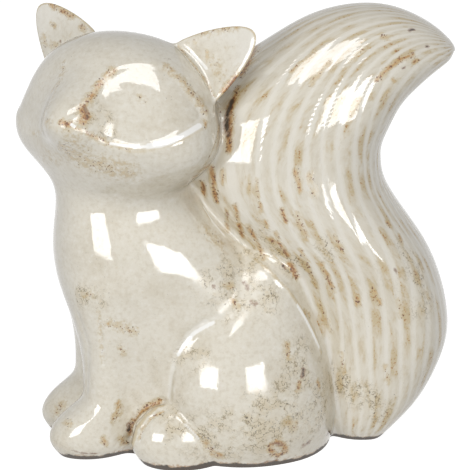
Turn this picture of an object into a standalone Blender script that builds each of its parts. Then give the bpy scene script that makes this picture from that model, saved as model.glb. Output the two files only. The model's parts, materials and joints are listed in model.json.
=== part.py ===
"""Seated fox figurine in glazed stoneware, as the clay pieces that are luted together.

The fox stands on Z = 0, faces -X and carries its tail towards +X. Y = 0 is the plane of
symmetry of everything but the head, which turns to -Y. "Left" is the fox's own left side,
which is -Y. All lengths are in metres.
"""

import bmesh
import bpy
import numpy as np
from mathutils import Vector

# Joints and walls
JOINT_GAP = 0.0003
WALL = 0.0045
BASE_WALL = 0.005
VENT_RADIUS = 0.006
NECK_BORE_RADIUS = 0.011
TAIL_BORE_RADIUS = 0.007
TAIL_BORE_HEIGHT = 0.040

# Standing forms: height, front X, back X, half width; each is an oval at that height
TORSO_STATIONS = (
    (0.000, -0.043, 0.030, 0.0235),
    (0.020, -0.046, 0.031, 0.0265),
    (0.040, -0.0525, 0.028, 0.0280),
    (0.055, -0.0585, 0.019, 0.0275),
    (0.070, -0.0607, 0.004, 0.0255),
    (0.083, -0.0596, -0.008, 0.0225),
    (0.094, -0.0587, -0.0165, 0.0200),
)
TORSO_CROWN = 0.009

FORELEG_SPACING = 0.0235
FORELEG_STATIONS = (
    (0.000, -0.0612, -0.0400, 0.0068),
    (0.003, -0.0637, -0.0385, 0.0090),
    (0.009, -0.0640, -0.0380, 0.0100),
    (0.014, -0.0605, -0.0380, 0.0097),
    (0.0185, -0.0552, -0.0380, 0.0092),
    (0.024, -0.0527, -0.0378, 0.0090),
    (0.036, -0.0528, -0.0360, 0.0094),
    (0.048, -0.0541, -0.0330, 0.0104),
    (0.058, -0.0548, -0.0310, 0.0108),
)
FORELEG_CROWN = 0.008

HAUNCH_OFFSET = 0.014
HAUNCH_STATIONS = (
    (0.000, -0.0225, 0.0278, 0.0208),
    (0.008, -0.0265, 0.0306, 0.0247),
    (0.020, -0.0295, 0.0305, 0.0268),
    (0.032, -0.0290, 0.0285, 0.0255),
    (0.041, -0.0255, 0.0240, 0.0220),
    (0.047, -0.0205, 0.0185, 0.0175),
)
HAUNCH_CROWN = 0.007

HIND_PAW_OFFSET = 0.0230
HIND_PAW_STATIONS = (
    (0.000, -0.0350, -0.0070, 0.0107),
    (0.004, -0.0378, -0.0060, 0.0115),
    (0.009, -0.0385, -0.0055, 0.0118),
    (0.014, -0.0368, -0.0070, 0.0105),
    (0.018, -0.0335, -0.0100, 0.0083),
)
HIND_PAW_CROWN = 0.004

# Head: half sizes, reach of the nose, and how it sits on the neck
HEAD_CENTRE = (-0.039, -0.004, 0.113)
HEAD_TURN = np.radians(43.0)
HEAD_ROLL = np.radians(1.5)
HEAD_HALF_WIDTH = 0.0345
HEAD_FRONT = 0.0265
HEAD_BACK = 0.0265
HEAD_UP = 0.0300
HEAD_DOWN = 0.0250
HEAD_FULLNESS_FRONT = 1.85
HEAD_FULLNESS_BACK = 2.4
FULLNESS_TURN = 0.6

# Cheeks and nose swell out of the skull, at angles seen from the head's centre
CHEEK_BULGE = 0.0030
CHEEK_AROUND = 1.45
CHEEK_RISE = -0.12
CHEEK_SPREAD = (0.45, 0.30)
NOSE_BULGE = 0.0085
NOSE_RISE = 0.20
NOSE_SPREAD = 0.36
NOSE_SPREAD_UP = 0.42
NOSE_SPREAD_DOWN = 0.26

# Face: each side has a leaf-shaped panel behind a smiling crest and a brow. Its outline is
# in angles seen from the head's centre, first around from the nose, then up from the level.
PANEL_MIDDLE = np.radians(51.0)
PANEL_HALF_SPAN = np.radians(41.0)
PANEL_CORNER_RISE = np.radians(12.0)
PANEL_TOP_RISE = np.radians(42.0)
PANEL_REACH = 1.1
PANEL_GROOVE_DEPTH = 0.0012
PANEL_GROOVE_WIDTH = np.radians(6.0)
CREST_HEIGHT = 0.0014
CREST_DROP = np.radians(13.0)
CREST_WIDTH = np.radians(5.5)
BROW_HEIGHT = 0.0007
BROW_WIDTH = np.radians(6.0)
PANEL_END_SOFTNESS = 1.05
CREST_TO_GROOVE = 1.5
BROW_TO_GROOVE = 1.2

# Ears: a cupped petal between its root on the skull and its tip
EAR_ROOT = (0.0264, -0.0100, 0.0172)
EAR_TIP = (0.0425, -0.0180, 0.0322)
EAR_HALF_WIDTH = 0.0127
EAR_THICKNESS = 0.0058
EAR_CUP = 0.0040
EAR_SINK = 0.008
EAR_BLUNTNESS = 2.2
EAR_TAPER = 0.42

# Tail: front and back points (X, Z) of its section in the plane Y = 0, and half width
TAIL_STATIONS = (
    (0.0296, 0.0000, 0.0525, 0.0000, 0.0175),
    (0.0270, 0.0030, 0.0552, 0.0030, 0.0198),
    (0.0230, 0.0120, 0.0634, 0.0120, 0.0232),
    (0.0200, 0.0250, 0.0705, 0.0244, 0.025),
    (0.0190, 0.0400, 0.0738, 0.0370, 0.0273),
    (0.0150, 0.0530, 0.0718, 0.0520, 0.0285),
    (0.0080, 0.0630, 0.0668, 0.0650, 0.029),
    (-0.0010, 0.0710, 0.0607, 0.0747, 0.029),
    (-0.0100, 0.0810, 0.0548, 0.0834, 0.0285),
    (-0.0165, 0.0930, 0.0510, 0.0910, 0.028),
    (-0.0160, 0.1060, 0.0499, 0.0975, 0.027),
    (-0.0090, 0.1200, 0.0503, 0.1025, 0.0255),
    (0.0030, 0.1315, 0.0527, 0.1085, 0.023),
    (0.0140, 0.1386, 0.0572, 0.1150, 0.0205),
    (0.0260, 0.1453, 0.0623, 0.1205, 0.0175),
    (0.0400, 0.1490, 0.0670, 0.1245, 0.014),
    (0.0535, 0.1480, 0.0707, 0.1270, 0.0105),
    (0.0650, 0.1432, 0.0734, 0.1290, 0.007),
    (0.0723, 0.1380, 0.0750, 0.1310, 0.0038),
)
TAIL_TIP = (0.0763, 0.1330)
TAIL_GROOVES = 36
TAIL_GROOVE_DEPTH = 0.0008
TAIL_GROOVE_FADE = 0.025

# The tail is solid below this height of its front edge, and where it is narrower than this
TAIL_SOLID_FOOT = 0.025
TAIL_SOLID_TIP = 0.014

# How finely each round form is faceted
STANDING_POINTS = 32
INNER_POINTS = 20
HEAD_SEGMENTS = 56
HEAD_RINGS = 38
HOLLOW_SEGMENTS = 24
HOLLOW_RINGS = 16
ROD_SEGMENTS = 24
EAR_POINTS = 20
EAR_RINGS = 9
EAR_LAST_RING = 0.985
CROWN_TILTS = np.radians((25.0, 48.0, 68.0))

# Where a cutter has to pass right through a face, it runs on by this much
OVERRUN = 0.010

GLAZE = (0.72, 0.66, 0.56, 1.0)
GLAZE_ROUGHNESS = 0.12


def collection(name):
    """A new collection in the scene."""
    made = bpy.data.collections.new(name)
    bpy.context.scene.collection.children.link(made)
    return made


def glaze(name):
    """Cream stoneware glaze: its own Principled material for one piece."""
    material = bpy.data.materials.new(name + "_glaze")
    material.use_nodes = True
    shader = material.node_tree.nodes["Principled BSDF"]
    shader.inputs["Base Color"].default_value = GLAZE
    shader.inputs["Roughness"].default_value = GLAZE_ROUGHNESS
    shader.inputs["Metallic"].default_value = 0.0
    return material


def smooth_rows(stations, per_span):
    """Rows on a Catmull-Rom curve through the stations, per_span of them to a span."""
    points = np.array(stations)
    points = np.vstack((2 * points[0] - points[1], points, 2 * points[-1] - points[-2]))
    rows = []
    for i in range(1, len(points) - 2):
        before, here, there, after = points[i - 1:i + 3]
        for t in np.arange(per_span) / per_span:
            rows.append(here + 0.5 * t * (there - before
                        + t * (2 * before - 5 * here + 4 * there - after
                               + t * (3 * here - 3 * there + after - before))))
    rows.append(points[-2])
    return np.array(rows)


def mesh_of_rings(name, rings, pole=None):
    """Skin rings of equal point count with quads; the first end is a flat cap."""
    count = len(rings[0])
    bm = bmesh.new()
    rows = [[bm.verts.new(p) for p in ring] for ring in rings]
    for low, high in zip(rows[:-1], rows[1:]):
        for i in range(count):
            j = (i + 1) % count
            bm.faces.new((low[i], low[j], high[j], high[i]))
    bm.faces.new(rows[0][::-1])
    if pole is None:
        bm.faces.new(rows[-1])
    else:
        top = bm.verts.new(pole)
        for i in range(count):
            bm.faces.new((rows[-1][i], rows[-1][(i + 1) % count], top))
    return mesh_of(name, bm)


def mesh_of(name, bm):
    """Close a bmesh into a mesh whose faces point out."""
    bm.normal_update()
    bmesh.ops.recalc_face_normals(bm, faces=bm.faces)
    mesh = bpy.data.meshes.new(name)
    bm.to_mesh(mesh)
    bm.free()
    return mesh


def place(name, mesh, where):
    """An object for the mesh, in the given collection."""
    made = bpy.data.objects.new(name, mesh)
    where.objects.link(made)
    return made


def cut(target, cutter):
    """Take the cutter away from the target with a live Boolean."""
    step = target.modifiers.new("less_" + cutter.name, "BOOLEAN")
    step.operation = "DIFFERENCE"
    step.solver = "EXACT"
    step.object = cutter


def standing_mesh(name, stations, crown, y_mid, grow=0.0, floor=0.0, points=STANDING_POINTS,
                  per_span=2):
    """An upright form of ovals, closed by a rounded crown; grow thickens it all round."""
    rows = smooth_rows(stations, per_span)
    last = rows[-1]
    for tilt in CROWN_TILTS:
        mid = 0.5 * (last[1] + last[2])
        half = 0.5 * (last[2] - last[1]) * np.cos(tilt)
        row = (last[0] + crown * np.sin(tilt), mid - half, mid + half, last[3] * np.cos(tilt))
        rows = np.vstack((rows, row))
    turn = np.arange(points) * 2 * np.pi / points
    rows[0][0] = floor
    rows[-len(CROWN_TILTS):, 0] += grow * np.sin(CROWN_TILTS)
    rings = []
    for z, front, back, half_width in rows:
        x = 0.5 * (front + back) + (0.5 * (back - front) + grow) * np.cos(turn)
        y = y_mid + (half_width + grow) * np.sin(turn)
        rings.append(np.column_stack((x, y, np.full(points, z))))
    pole = (0.5 * (last[1] + last[2]), y_mid, last[0] + crown + grow)
    return mesh_of_rings(name, rings, pole)


def head_axes():
    """Unit vectors of the head: to its left side, out of its face, and up."""
    left = np.array((np.cos(HEAD_TURN), -np.sin(HEAD_TURN), 0.0))
    ahead = np.array((-np.sin(HEAD_TURN), -np.cos(HEAD_TURN), 0.0))
    up = np.array((0.0, 0.0, 1.0))
    rolled_left = left * np.cos(HEAD_ROLL) + up * np.sin(HEAD_ROLL)
    rolled_up = up * np.cos(HEAD_ROLL) - left * np.sin(HEAD_ROLL)
    return rolled_left, ahead, rolled_up


def swell(distance, width):
    """A rounded bump of height 1 that dies away over the width."""
    return np.exp(-(distance / width) ** 2)


def face_relief(around, rise):
    """How far the face stands out of the plain skull: crest and brow, less the grooves
    that run inside them round the panel."""
    span = (around - PANEL_MIDDLE) / PANEL_HALF_SPAN
    low = PANEL_CORNER_RISE - CREST_DROP * (1 - np.clip(span, -PANEL_REACH, PANEL_REACH) ** 2)
    high = PANEL_CORNER_RISE + PANEL_TOP_RISE * np.sqrt(np.clip(1 - span ** 2, 0, 1))
    within = np.exp(-(span / PANEL_END_SOFTNESS) ** 8)
    crest = CREST_HEIGHT * swell(rise - low, CREST_WIDTH)
    brow = BROW_HEIGHT * swell(rise - high, BROW_WIDTH)
    above_crest = rise - low - CREST_TO_GROOVE * CREST_WIDTH
    below_brow = high - rise - BROW_TO_GROOVE * BROW_WIDTH
    groove = np.maximum(swell(above_crest, PANEL_GROOVE_WIDTH),
                        swell(below_brow, PANEL_GROOVE_WIDTH))
    return within * (crest + brow - PANEL_GROOVE_DEPTH * groove)


def head_radius(side, ahead, up, relief=True):
    """Distance from the head's centre to its skin along unit directions in head axes."""
    depth = np.where(ahead > 0, HEAD_FRONT, HEAD_BACK)
    height = np.where(up > 0, HEAD_UP, HEAD_DOWN)
    toward_back = 0.5 - 0.5 * np.clip(ahead / FULLNESS_TURN, -1, 1)
    power = HEAD_FULLNESS_FRONT + (HEAD_FULLNESS_BACK - HEAD_FULLNESS_FRONT) * toward_back
    radius = (np.abs(side / HEAD_HALF_WIDTH) ** power + np.abs(ahead / depth) ** power
              + np.abs(up / height) ** power) ** (-1.0 / power)
    around = np.arctan2(np.abs(side), ahead)
    rise = np.arcsin(np.clip(up, -1, 1))
    cheek = (swell(around - CHEEK_AROUND, CHEEK_SPREAD[0])
             * swell(rise - CHEEK_RISE, CHEEK_SPREAD[1]))
    lift = rise - NOSE_RISE
    nose = (swell(around, NOSE_SPREAD)
            * swell(lift, np.where(lift > 0, NOSE_SPREAD_UP, NOSE_SPREAD_DOWN)))
    radius = radius + CHEEK_BULGE * cheek + NOSE_BULGE * nose
    return radius + face_relief(around, rise) if relief else radius


def head_point(offsets):
    """World positions of points given in head axes from the head's centre."""
    return np.array(HEAD_CENTRE) + np.asarray(offsets) @ np.array(head_axes())


def head_mesh(name, grow=0.0, segments=HEAD_SEGMENTS, rings=HEAD_RINGS, relief=True):
    """A sphere pushed out to the head's skin, thicker by grow."""
    bm = bmesh.new()
    bmesh.ops.create_uvsphere(bm, u_segments=segments, v_segments=rings, radius=1.0)
    unit = np.array([v.co for v in bm.verts])
    unit /= np.linalg.norm(unit, axis=1)[:, None]
    radius = head_radius(*unit.T, relief) + grow
    for vertex, position in zip(bm.verts, head_point(unit * radius[:, None])):
        vertex.co = Vector(position)
    return mesh_of(name, bm)


def ear_mesh(name, side):
    """A petal whose oval sections shrink from root to tip and are hollowed in front."""
    root = np.array(EAR_ROOT) * (side, 1, 1)
    tip = np.array(EAR_TIP) * (side, 1, 1)
    axis = tip - root
    length = np.linalg.norm(axis)
    axis /= length
    across = np.cross((0.0, 1.0, 0.0), axis)
    across /= np.linalg.norm(across)
    front = np.cross(axis, across)
    front *= np.sign(front[1])
    turn = np.arange(EAR_POINTS) * 2 * np.pi / EAR_POINTS
    rings = []
    for along in np.linspace(-EAR_SINK, length * EAR_LAST_RING, EAR_RINGS):
        t = along / length
        taper = np.sqrt(1 - max(t, 0) ** EAR_BLUNTNESS) * (1 - EAR_TAPER * max(t, 0))
        wide = EAR_HALF_WIDTH * taper * np.cos(turn)
        deep = EAR_THICKNESS * taper * np.sin(turn)
        hollow = EAR_CUP * taper * np.sin(turn).clip(0) ** 2
        offsets = (root + axis * along + np.outer(wide, across)
                   + np.outer(deep - hollow, front))
        rings.append(head_point(offsets))
    pole = head_point(tip)
    return mesh_of_rings(name, rings, pole)


def hollow_rows(rows):
    """The tail's rows from the top of its solid foot to the start of its solid tip."""
    steps = np.arange(len(rows))
    widest = np.argmax(rows[:, 4])
    start = np.interp(TAIL_SOLID_FOOT, rows[:widest + 1, 1], steps[:widest + 1])
    end = np.interp(-TAIL_SOLID_TIP, -rows[widest:, 4], steps[widest:])
    between = steps[(steps > start) & (steps < end)]
    at = np.concatenate(((start,), between, (end,)))
    return np.array([np.interp(at, steps, column) for column in rows.T]).T


def tail_mesh(name, grow=0.0, hollow=False, points=2 * TAIL_GROOVES):
    """Ovals carried along the tail's S curve, with a comb of grooves on their rims. The
    hollow has no grooves and stops short of the foot and the tip."""
    rows = np.array(TAIL_STATIONS)
    rows = hollow_rows(rows) if hollow else rows
    turn = np.arange(points) * 2 * np.pi / points
    dip = np.arange(points) % 2 * (0.0 if hollow else TAIL_GROOVE_DEPTH)
    rings = []
    for front_x, front_z, back_x, back_z, half_width in rows:
        middle = 0.5 * np.array((front_x + back_x, 0.0, front_z + back_z))
        spoke = 0.5 * np.array((back_x - front_x, 0.0, back_z - front_z))
        half = np.linalg.norm(spoke)
        spoke /= half
        shallow = dip * min(1.0, half / TAIL_GROOVE_FADE)
        deep = (half + grow - shallow) * np.cos(turn)
        wide = (half_width + grow - shallow) * np.sin(turn)
        rings.append(middle + np.outer(deep, spoke) + np.outer(wide, (0.0, 1.0, 0.0)))
    pole = None if hollow else (TAIL_TIP[0], 0.0, TAIL_TIP[1])
    return mesh_of_rings(name, rings, pole)


def rod_mesh(name, radius, length):
    """A short round cutter along +Z from the origin."""
    bm = bmesh.new()
    bmesh.ops.create_cone(bm, cap_ends=True, segments=ROD_SEGMENTS, radius1=radius,
                          radius2=radius, depth=length)
    bmesh.ops.translate(bm, verts=bm.verts, vec=(0.0, 0.0, 0.5 * length))
    return mesh_of(name, bm)


def clear_scene():
    """Remove what the scene starts with."""
    for found in list(bpy.data.objects):
        bpy.data.objects.remove(found)


def hide(cutter):
    """Mark an object as a cutter only."""
    cutter.hide_render = True
    cutter.display_type = "WIRE"
    return cutter


def middle_offset(head_skin):
    """The shift along X that brings the middle of the fox's length over the origin."""
    face_end = min(v.co.x for v in head_skin.vertices)
    return -0.5 * (face_end + TAIL_TIP[0])


def build():
    """Make the eleven clay pieces and the cutters that part them."""
    clear_scene()
    pieces = collection("fox_figurine")
    cutters = collection("cutters")
    fox = bpy.data.objects.new("fox_axes", None)
    pieces.objects.link(fox)

    def piece(name, mesh):
        made = place(name, mesh, pieces)
        made.parent = fox
        mesh.materials.append(glaze(name))
        mesh.shade_smooth()
        return made

    def cutter(name, mesh):
        made = hide(place(name, mesh, cutters))
        made.parent = fox
        return made

    def standing(name, stations, crown, y_mid):
        made = piece(name, standing_mesh(name, stations, crown, y_mid))
        grown = standing_mesh(name, stations, crown, y_mid, grow=JOINT_GAP, floor=-OVERRUN)
        return made, cutter(name + "_seat", grown)

    torso, torso_seat = standing("torso_shell", TORSO_STATIONS, TORSO_CROWN, 0.0)
    hollow = standing_mesh("torso_hollow", TORSO_STATIONS, TORSO_CROWN, 0.0, grow=-WALL,
                           floor=BASE_WALL, points=INNER_POINTS, per_span=1)
    cut(torso, cutter("torso_hollow", hollow))
    vent = cutter("vent_hole", rod_mesh("vent_hole", VENT_RADIUS, 2 * OVERRUN))
    vent.location = (0.0, 0.0, -OVERRUN)
    cut(torso, vent)
    neck = cutter("neck_bore", rod_mesh("neck_bore", NECK_BORE_RADIUS, 3 * OVERRUN))
    neck.location = (HEAD_CENTRE[0], 0.0, TORSO_STATIONS[-1][0] - OVERRUN)
    cut(torso, neck)
    bore = cutter("tail_bore", rod_mesh("tail_bore", TAIL_BORE_RADIUS, 4 * OVERRUN))
    bore.location = (0.0, 0.0, TAIL_BORE_HEIGHT)
    bore.rotation_euler = (0.0, 0.5 * np.pi, 0.0)
    cut(torso, bore)

    head = piece("head_shell", head_mesh("head_shell"))
    fox.location = (middle_offset(head.data), 0.0, 0.0)
    hollow = head_mesh("head_hollow", -WALL, HOLLOW_SEGMENTS, HOLLOW_RINGS, False)
    cut(head, cutter("head_hollow", hollow))
    cut(head, torso_seat)
    head_seat = cutter("head_seat", head_mesh("head_seat", JOINT_GAP))

    tail = piece("tail_shell", tail_mesh("tail_shell"))
    hollow = tail_mesh("tail_hollow", -WALL, True, INNER_POINTS)
    cut(tail, cutter("tail_hollow", hollow))
    cut(tail, torso_seat)
    cut(tail, head_seat)

    for side_name, side in (("left", -1), ("right", 1)):
        ear = piece(side_name + "_ear", ear_mesh(side_name + "_ear", -side))
        cut(ear, head_seat)
        leg, leg_seat = standing(side_name + "_foreleg", FORELEG_STATIONS, FORELEG_CROWN,
                                 side * 0.5 * FORELEG_SPACING)
        cut(leg, torso_seat)
        haunch, haunch_seat = standing(side_name + "_haunch", HAUNCH_STATIONS, HAUNCH_CROWN,
                                       side * HAUNCH_OFFSET)
        cut(haunch, torso_seat)
        cut(tail, haunch_seat)
        paw = piece(side_name + "_hind_paw",
                    standing_mesh(side_name + "_hind_paw", HIND_PAW_STATIONS,
                                  HIND_PAW_CROWN, side * HIND_PAW_OFFSET))
        cut(paw, leg_seat)
        cut(paw, haunch_seat)
        cut(paw, torso_seat)


build()
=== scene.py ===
"""The fox figurine, dressed: eleven fused clay forms under one glossy reactive glaze.

Every form is a closed surface on a grid of two parameters. A distance field joins all the
forms with soft fillets, as slip and glaze do, and each grid is settled onto that field, so
neighbours meet without a seam. Lengths are in metres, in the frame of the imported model.
"""
import json
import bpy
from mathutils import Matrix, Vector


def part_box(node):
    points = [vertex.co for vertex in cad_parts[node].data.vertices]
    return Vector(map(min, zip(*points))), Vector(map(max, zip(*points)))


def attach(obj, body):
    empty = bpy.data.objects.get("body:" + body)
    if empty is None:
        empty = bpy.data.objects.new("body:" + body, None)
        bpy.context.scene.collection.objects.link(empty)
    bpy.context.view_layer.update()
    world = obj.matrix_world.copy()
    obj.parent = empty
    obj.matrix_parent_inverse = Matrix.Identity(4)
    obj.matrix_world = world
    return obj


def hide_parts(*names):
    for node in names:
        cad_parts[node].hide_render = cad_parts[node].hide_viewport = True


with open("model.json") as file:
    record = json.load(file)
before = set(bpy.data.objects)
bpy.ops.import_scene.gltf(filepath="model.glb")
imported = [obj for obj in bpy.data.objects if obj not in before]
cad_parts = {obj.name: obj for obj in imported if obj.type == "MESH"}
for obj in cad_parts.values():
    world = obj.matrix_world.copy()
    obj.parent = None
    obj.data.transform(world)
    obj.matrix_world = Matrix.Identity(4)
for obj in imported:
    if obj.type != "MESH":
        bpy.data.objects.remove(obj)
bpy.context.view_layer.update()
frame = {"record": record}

from concurrent.futures import ThreadPoolExecutor

import bpy
import numpy as np
from mathutils import Matrix, Vector

MM = 0.001
# Which way each side lies along Y; in the head's own axes it is the other way
SIDES = {"left": -1, "right": 1}

# Upright forms: height, front X, back X, half width of an oval, in the fox's own axes
TORSO = (
    (0.000, -0.0430, 0.0300, 0.0235),
    (0.020, -0.0460, 0.0310, 0.0265),
    (0.040, -0.0525, 0.0280, 0.0280),
    (0.055, -0.0585, 0.0190, 0.0276),
    (0.070, -0.0607, 0.0040, 0.0264),
    (0.083, -0.0596, -0.0080, 0.0220),
    (0.094, -0.0587, -0.0165, 0.0172),
)
TORSO_CROWN = 0.009
TORSO_FULLNESS = 2.3
TORSO_RIDGE = 0.05
FORELEG = (
    (0.0000, -0.0612, -0.0400, 0.0068),
    (0.0030, -0.0637, -0.0385, 0.0090),
    (0.0090, -0.0640, -0.0380, 0.0100),
    (0.0140, -0.0598, -0.0380, 0.0097),
    (0.0185, -0.0545, -0.0380, 0.0092),
    (0.0240, -0.0527, -0.0378, 0.0090),
    (0.0360, -0.0528, -0.0360, 0.0094),
    (0.0480, -0.0541, -0.0330, 0.0104),
    (0.0580, -0.0548, -0.0310, 0.0108),
)
FORELEG_CROWN = 0.008
FORELEG_OFFSET = 0.01175
HAUNCH = (
    (0.000, -0.0225, 0.0278, 0.0208),
    (0.008, -0.0265, 0.0306, 0.0247),
    (0.020, -0.0295, 0.0305, 0.0268),
    (0.032, -0.0290, 0.0285, 0.0255),
    (0.041, -0.0255, 0.0255, 0.0222),
    (0.048, -0.0190, 0.0228, 0.0188),
    (0.055, -0.0100, 0.0205, 0.0152),
    (0.062, -0.0035, 0.0185, 0.0114),
)
HAUNCH_CROWN = 0.009
HAUNCH_OFFSET = 0.014
HIND_PAW = (
    (0.000, -0.0350, -0.0070, 0.0107),
    (0.004, -0.0378, -0.0060, 0.0115),
    (0.009, -0.0385, -0.0055, 0.0118),
    (0.014, -0.0368, -0.0070, 0.0105),
    (0.018, -0.0335, -0.0100, 0.0083),
)
HIND_PAW_CROWN = 0.004
HIND_PAW_OFFSET = 0.023
VENT_RADIUS = 0.006
VENT_DEPTH = 0.008

# Head: half sizes round its centre, and how it sits on the neck
HEAD_CENTRE = (-0.039, -0.004, 0.113)
HEAD_TURN = np.radians(43.0)
HEAD_ROLL = np.radians(1.5)
HEAD_HALF_WIDTH = 0.0345
HEAD_DEPTH = 0.0265
HEAD_UP = 0.0300
HEAD_DOWN = 0.0250
FULLNESS_FRONT = 1.85
FULLNESS_BACK = 2.4
FULLNESS_TURN = 0.6
CROWN_TURN = 0.3
SKULL_SOFTNESS = 0.10
HEAD_REACH = 0.052
CHEEK = dict(height=0.0030, around=1.45, rise=-0.12, spread=(0.45, 0.30))
NOSE = dict(height=0.0085, rise=0.20, spread=0.36, above=0.42, below=0.26)

# The sunk leaf on each side of the face: degrees around from the nose, degrees of rise.
# It is deeper below than at its top, and shallow towards the nose's corner
LEAF_MIDDLE = (51.0, 25.0)
LEAF_OUTLINE = (
    (8, 12), (14, 9), (21, 4.8), (34, -0.8), (46, -3.6), (55, -2.3), (65, 0.3), (76, 4.0),
    (86, 6.3), (91.5, 11), (89, 19), (86.5, 26), (82, 41), (69, 50), (56, 53), (43, 53),
    (32, 50.5), (22, 43), (17, 33.5), (12, 22),
)
LEAF_DEPTH_BELOW = 0.0012
LEAF_DEPTH_TOP = 0.0002
LEAF_DEEP_FROM = 0.35
LEAF_DEEP_TO = -0.40
LEAF_WALL = 0.0027
LEAF_FLATNESS = 0.0014
LEAF_CORNER = 0.1
LEAF_CORNER_SPAN = (-0.7, -0.3)
LEAF_LIP = 0.0002
LEAF_LIP_WIDTH = 0.0016
FAR_LEAF = 0.3
FAR_SIDE = (0.02, -0.12)

# Ears: root and tip (side, ahead, up) from the head's centre, in the head's axes
EAR_ROOT = (0.0253, -0.0098, 0.0181)
EAR_TIP = (0.0435, -0.0167, 0.0313)
EAR_TURN = np.radians(9.0)
EAR_HALF_WIDTH = 0.0119
EAR_HALF_THICKNESS = 0.0024
EAR_CUP = 0.0027
EAR_SET_BACK = 0.0008
EAR_SINK = 0.008
EAR_BLUNTNESS = 2.0
EAR_TAPER = 0.29
EAR_REACH = 0.026
EAR_START = -0.35

# Tail: front and back points (X, Z) of its oval section, and its half width
TAIL = (
    (0.0296, 0.0000, 0.0525, 0.0000, 0.0178),
    (0.0270, 0.0030, 0.0552, 0.0030, 0.0204),
    (0.0230, 0.0120, 0.0634, 0.0120, 0.0246),
    (0.0200, 0.0250, 0.0705, 0.0244, 0.0278),
    (0.0190, 0.0400, 0.0738, 0.0370, 0.0300),
    (0.0150, 0.0530, 0.0718, 0.0520, 0.0306),
    (0.0080, 0.0630, 0.0668, 0.0650, 0.0304),
    (-0.0010, 0.0710, 0.0607, 0.0747, 0.0297),
    (-0.0100, 0.0810, 0.0548, 0.0834, 0.0286),
    (-0.0165, 0.0930, 0.0510, 0.0910, 0.0274),
    (-0.0160, 0.1060, 0.0499, 0.0975, 0.0264),
    (-0.0090, 0.1200, 0.0503, 0.1025, 0.0258),
    (0.0030, 0.1315, 0.0527, 0.1085, 0.0250),
    (0.0139, 0.1384, 0.0564, 0.1152, 0.0232),
    (0.0261, 0.1449, 0.0614, 0.1203, 0.0207),
    (0.0404, 0.1483, 0.0662, 0.1241, 0.0175),
    (0.0539, 0.1473, 0.0702, 0.1268, 0.0139),
    (0.0650, 0.1425, 0.0732, 0.1292, 0.0100),
    (0.0718, 0.1374, 0.0746, 0.1312, 0.0056),
)
TAIL_TIP = (0.0754, 0.1328)
TAIL_FULLNESS = 2.1
TAIL_RIDGE = 0.3
TAIL_EVEN_ROWS = 0.55

# Comb: lines round the tail, their depth, the section at which they fade, and how many
# degrees they sweep towards the tail's back, by share of the way to the tip
COMB_TEETH = 36
COMB_DEPTH = 0.00007
COMB_FADE = 0.025
COMB_SWEEP = (
    (0.00, 16.0), (0.10, 8.0), (0.20, 0.0), (0.30, 5.0), (0.38, 14.0), (0.47, 22.0),
    (0.55, 26.0), (0.61, 24.0), (0.70, 13.0), (0.79, 1.0), (0.88, -9.0), (1.00, -20.0),
)
COMB_EDGE = np.radians(70.0)

# Camera: where the photograph was taken from, in the fox's own axes
CAMERA_AZIMUTH = np.radians(-10.0)
CAMERA_ELEVATION = np.radians(18.0)
CAMERA_DISTANCE = 0.9
CAMERA_TARGET = (0.0, -0.0047, 0.072)
FRAME_WIDTH = 0.15792
SENSOR = 36.0
PHOTO_SIZE = 470

# Lines drawn into the clay (above 0) or raised on it (below 0), on both sides: depth and
# width in millimetres, and pixels (column, row) of the photograph that they pass through
DRAWN_LINES = (
    (0.5, 1.3, ((168, 396), (170, 376), (176, 351), (188, 333), (204, 322))),
    (0.2, 1.2, ((204, 322), (216, 317))),
    (0.3, 0.8, ((98, 320), (100, 335), (103, 364))),
    (0.3, 1.3, ((77, 314), (82, 328), (87, 345), (87, 366), (86, 390))),
    (0.6, 1.2, ((130, 438), (135, 421), (148, 407), (162, 400))),
    (-0.5, 0.9, ((133, 444), (137, 428), (146, 416), (158, 407), (168, 405), (176, 413),
                 (187, 425), (200, 436))),
    (0.3, 0.8, ((139, 440), (143, 427), (152, 417), (163, 411))),
    (0.25, 0.7, ((176, 45), (186, 57), (195, 67), (204, 80), (210, 90), (216, 101),
                 (219, 112))),
    (-0.4, 1.1, ((194, 190), (199, 203), (207, 216), (218, 229), (232, 241), (250, 255),
                 (270, 272), (286, 288), (300, 308), (312, 330), (320, 352))),
)

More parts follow.
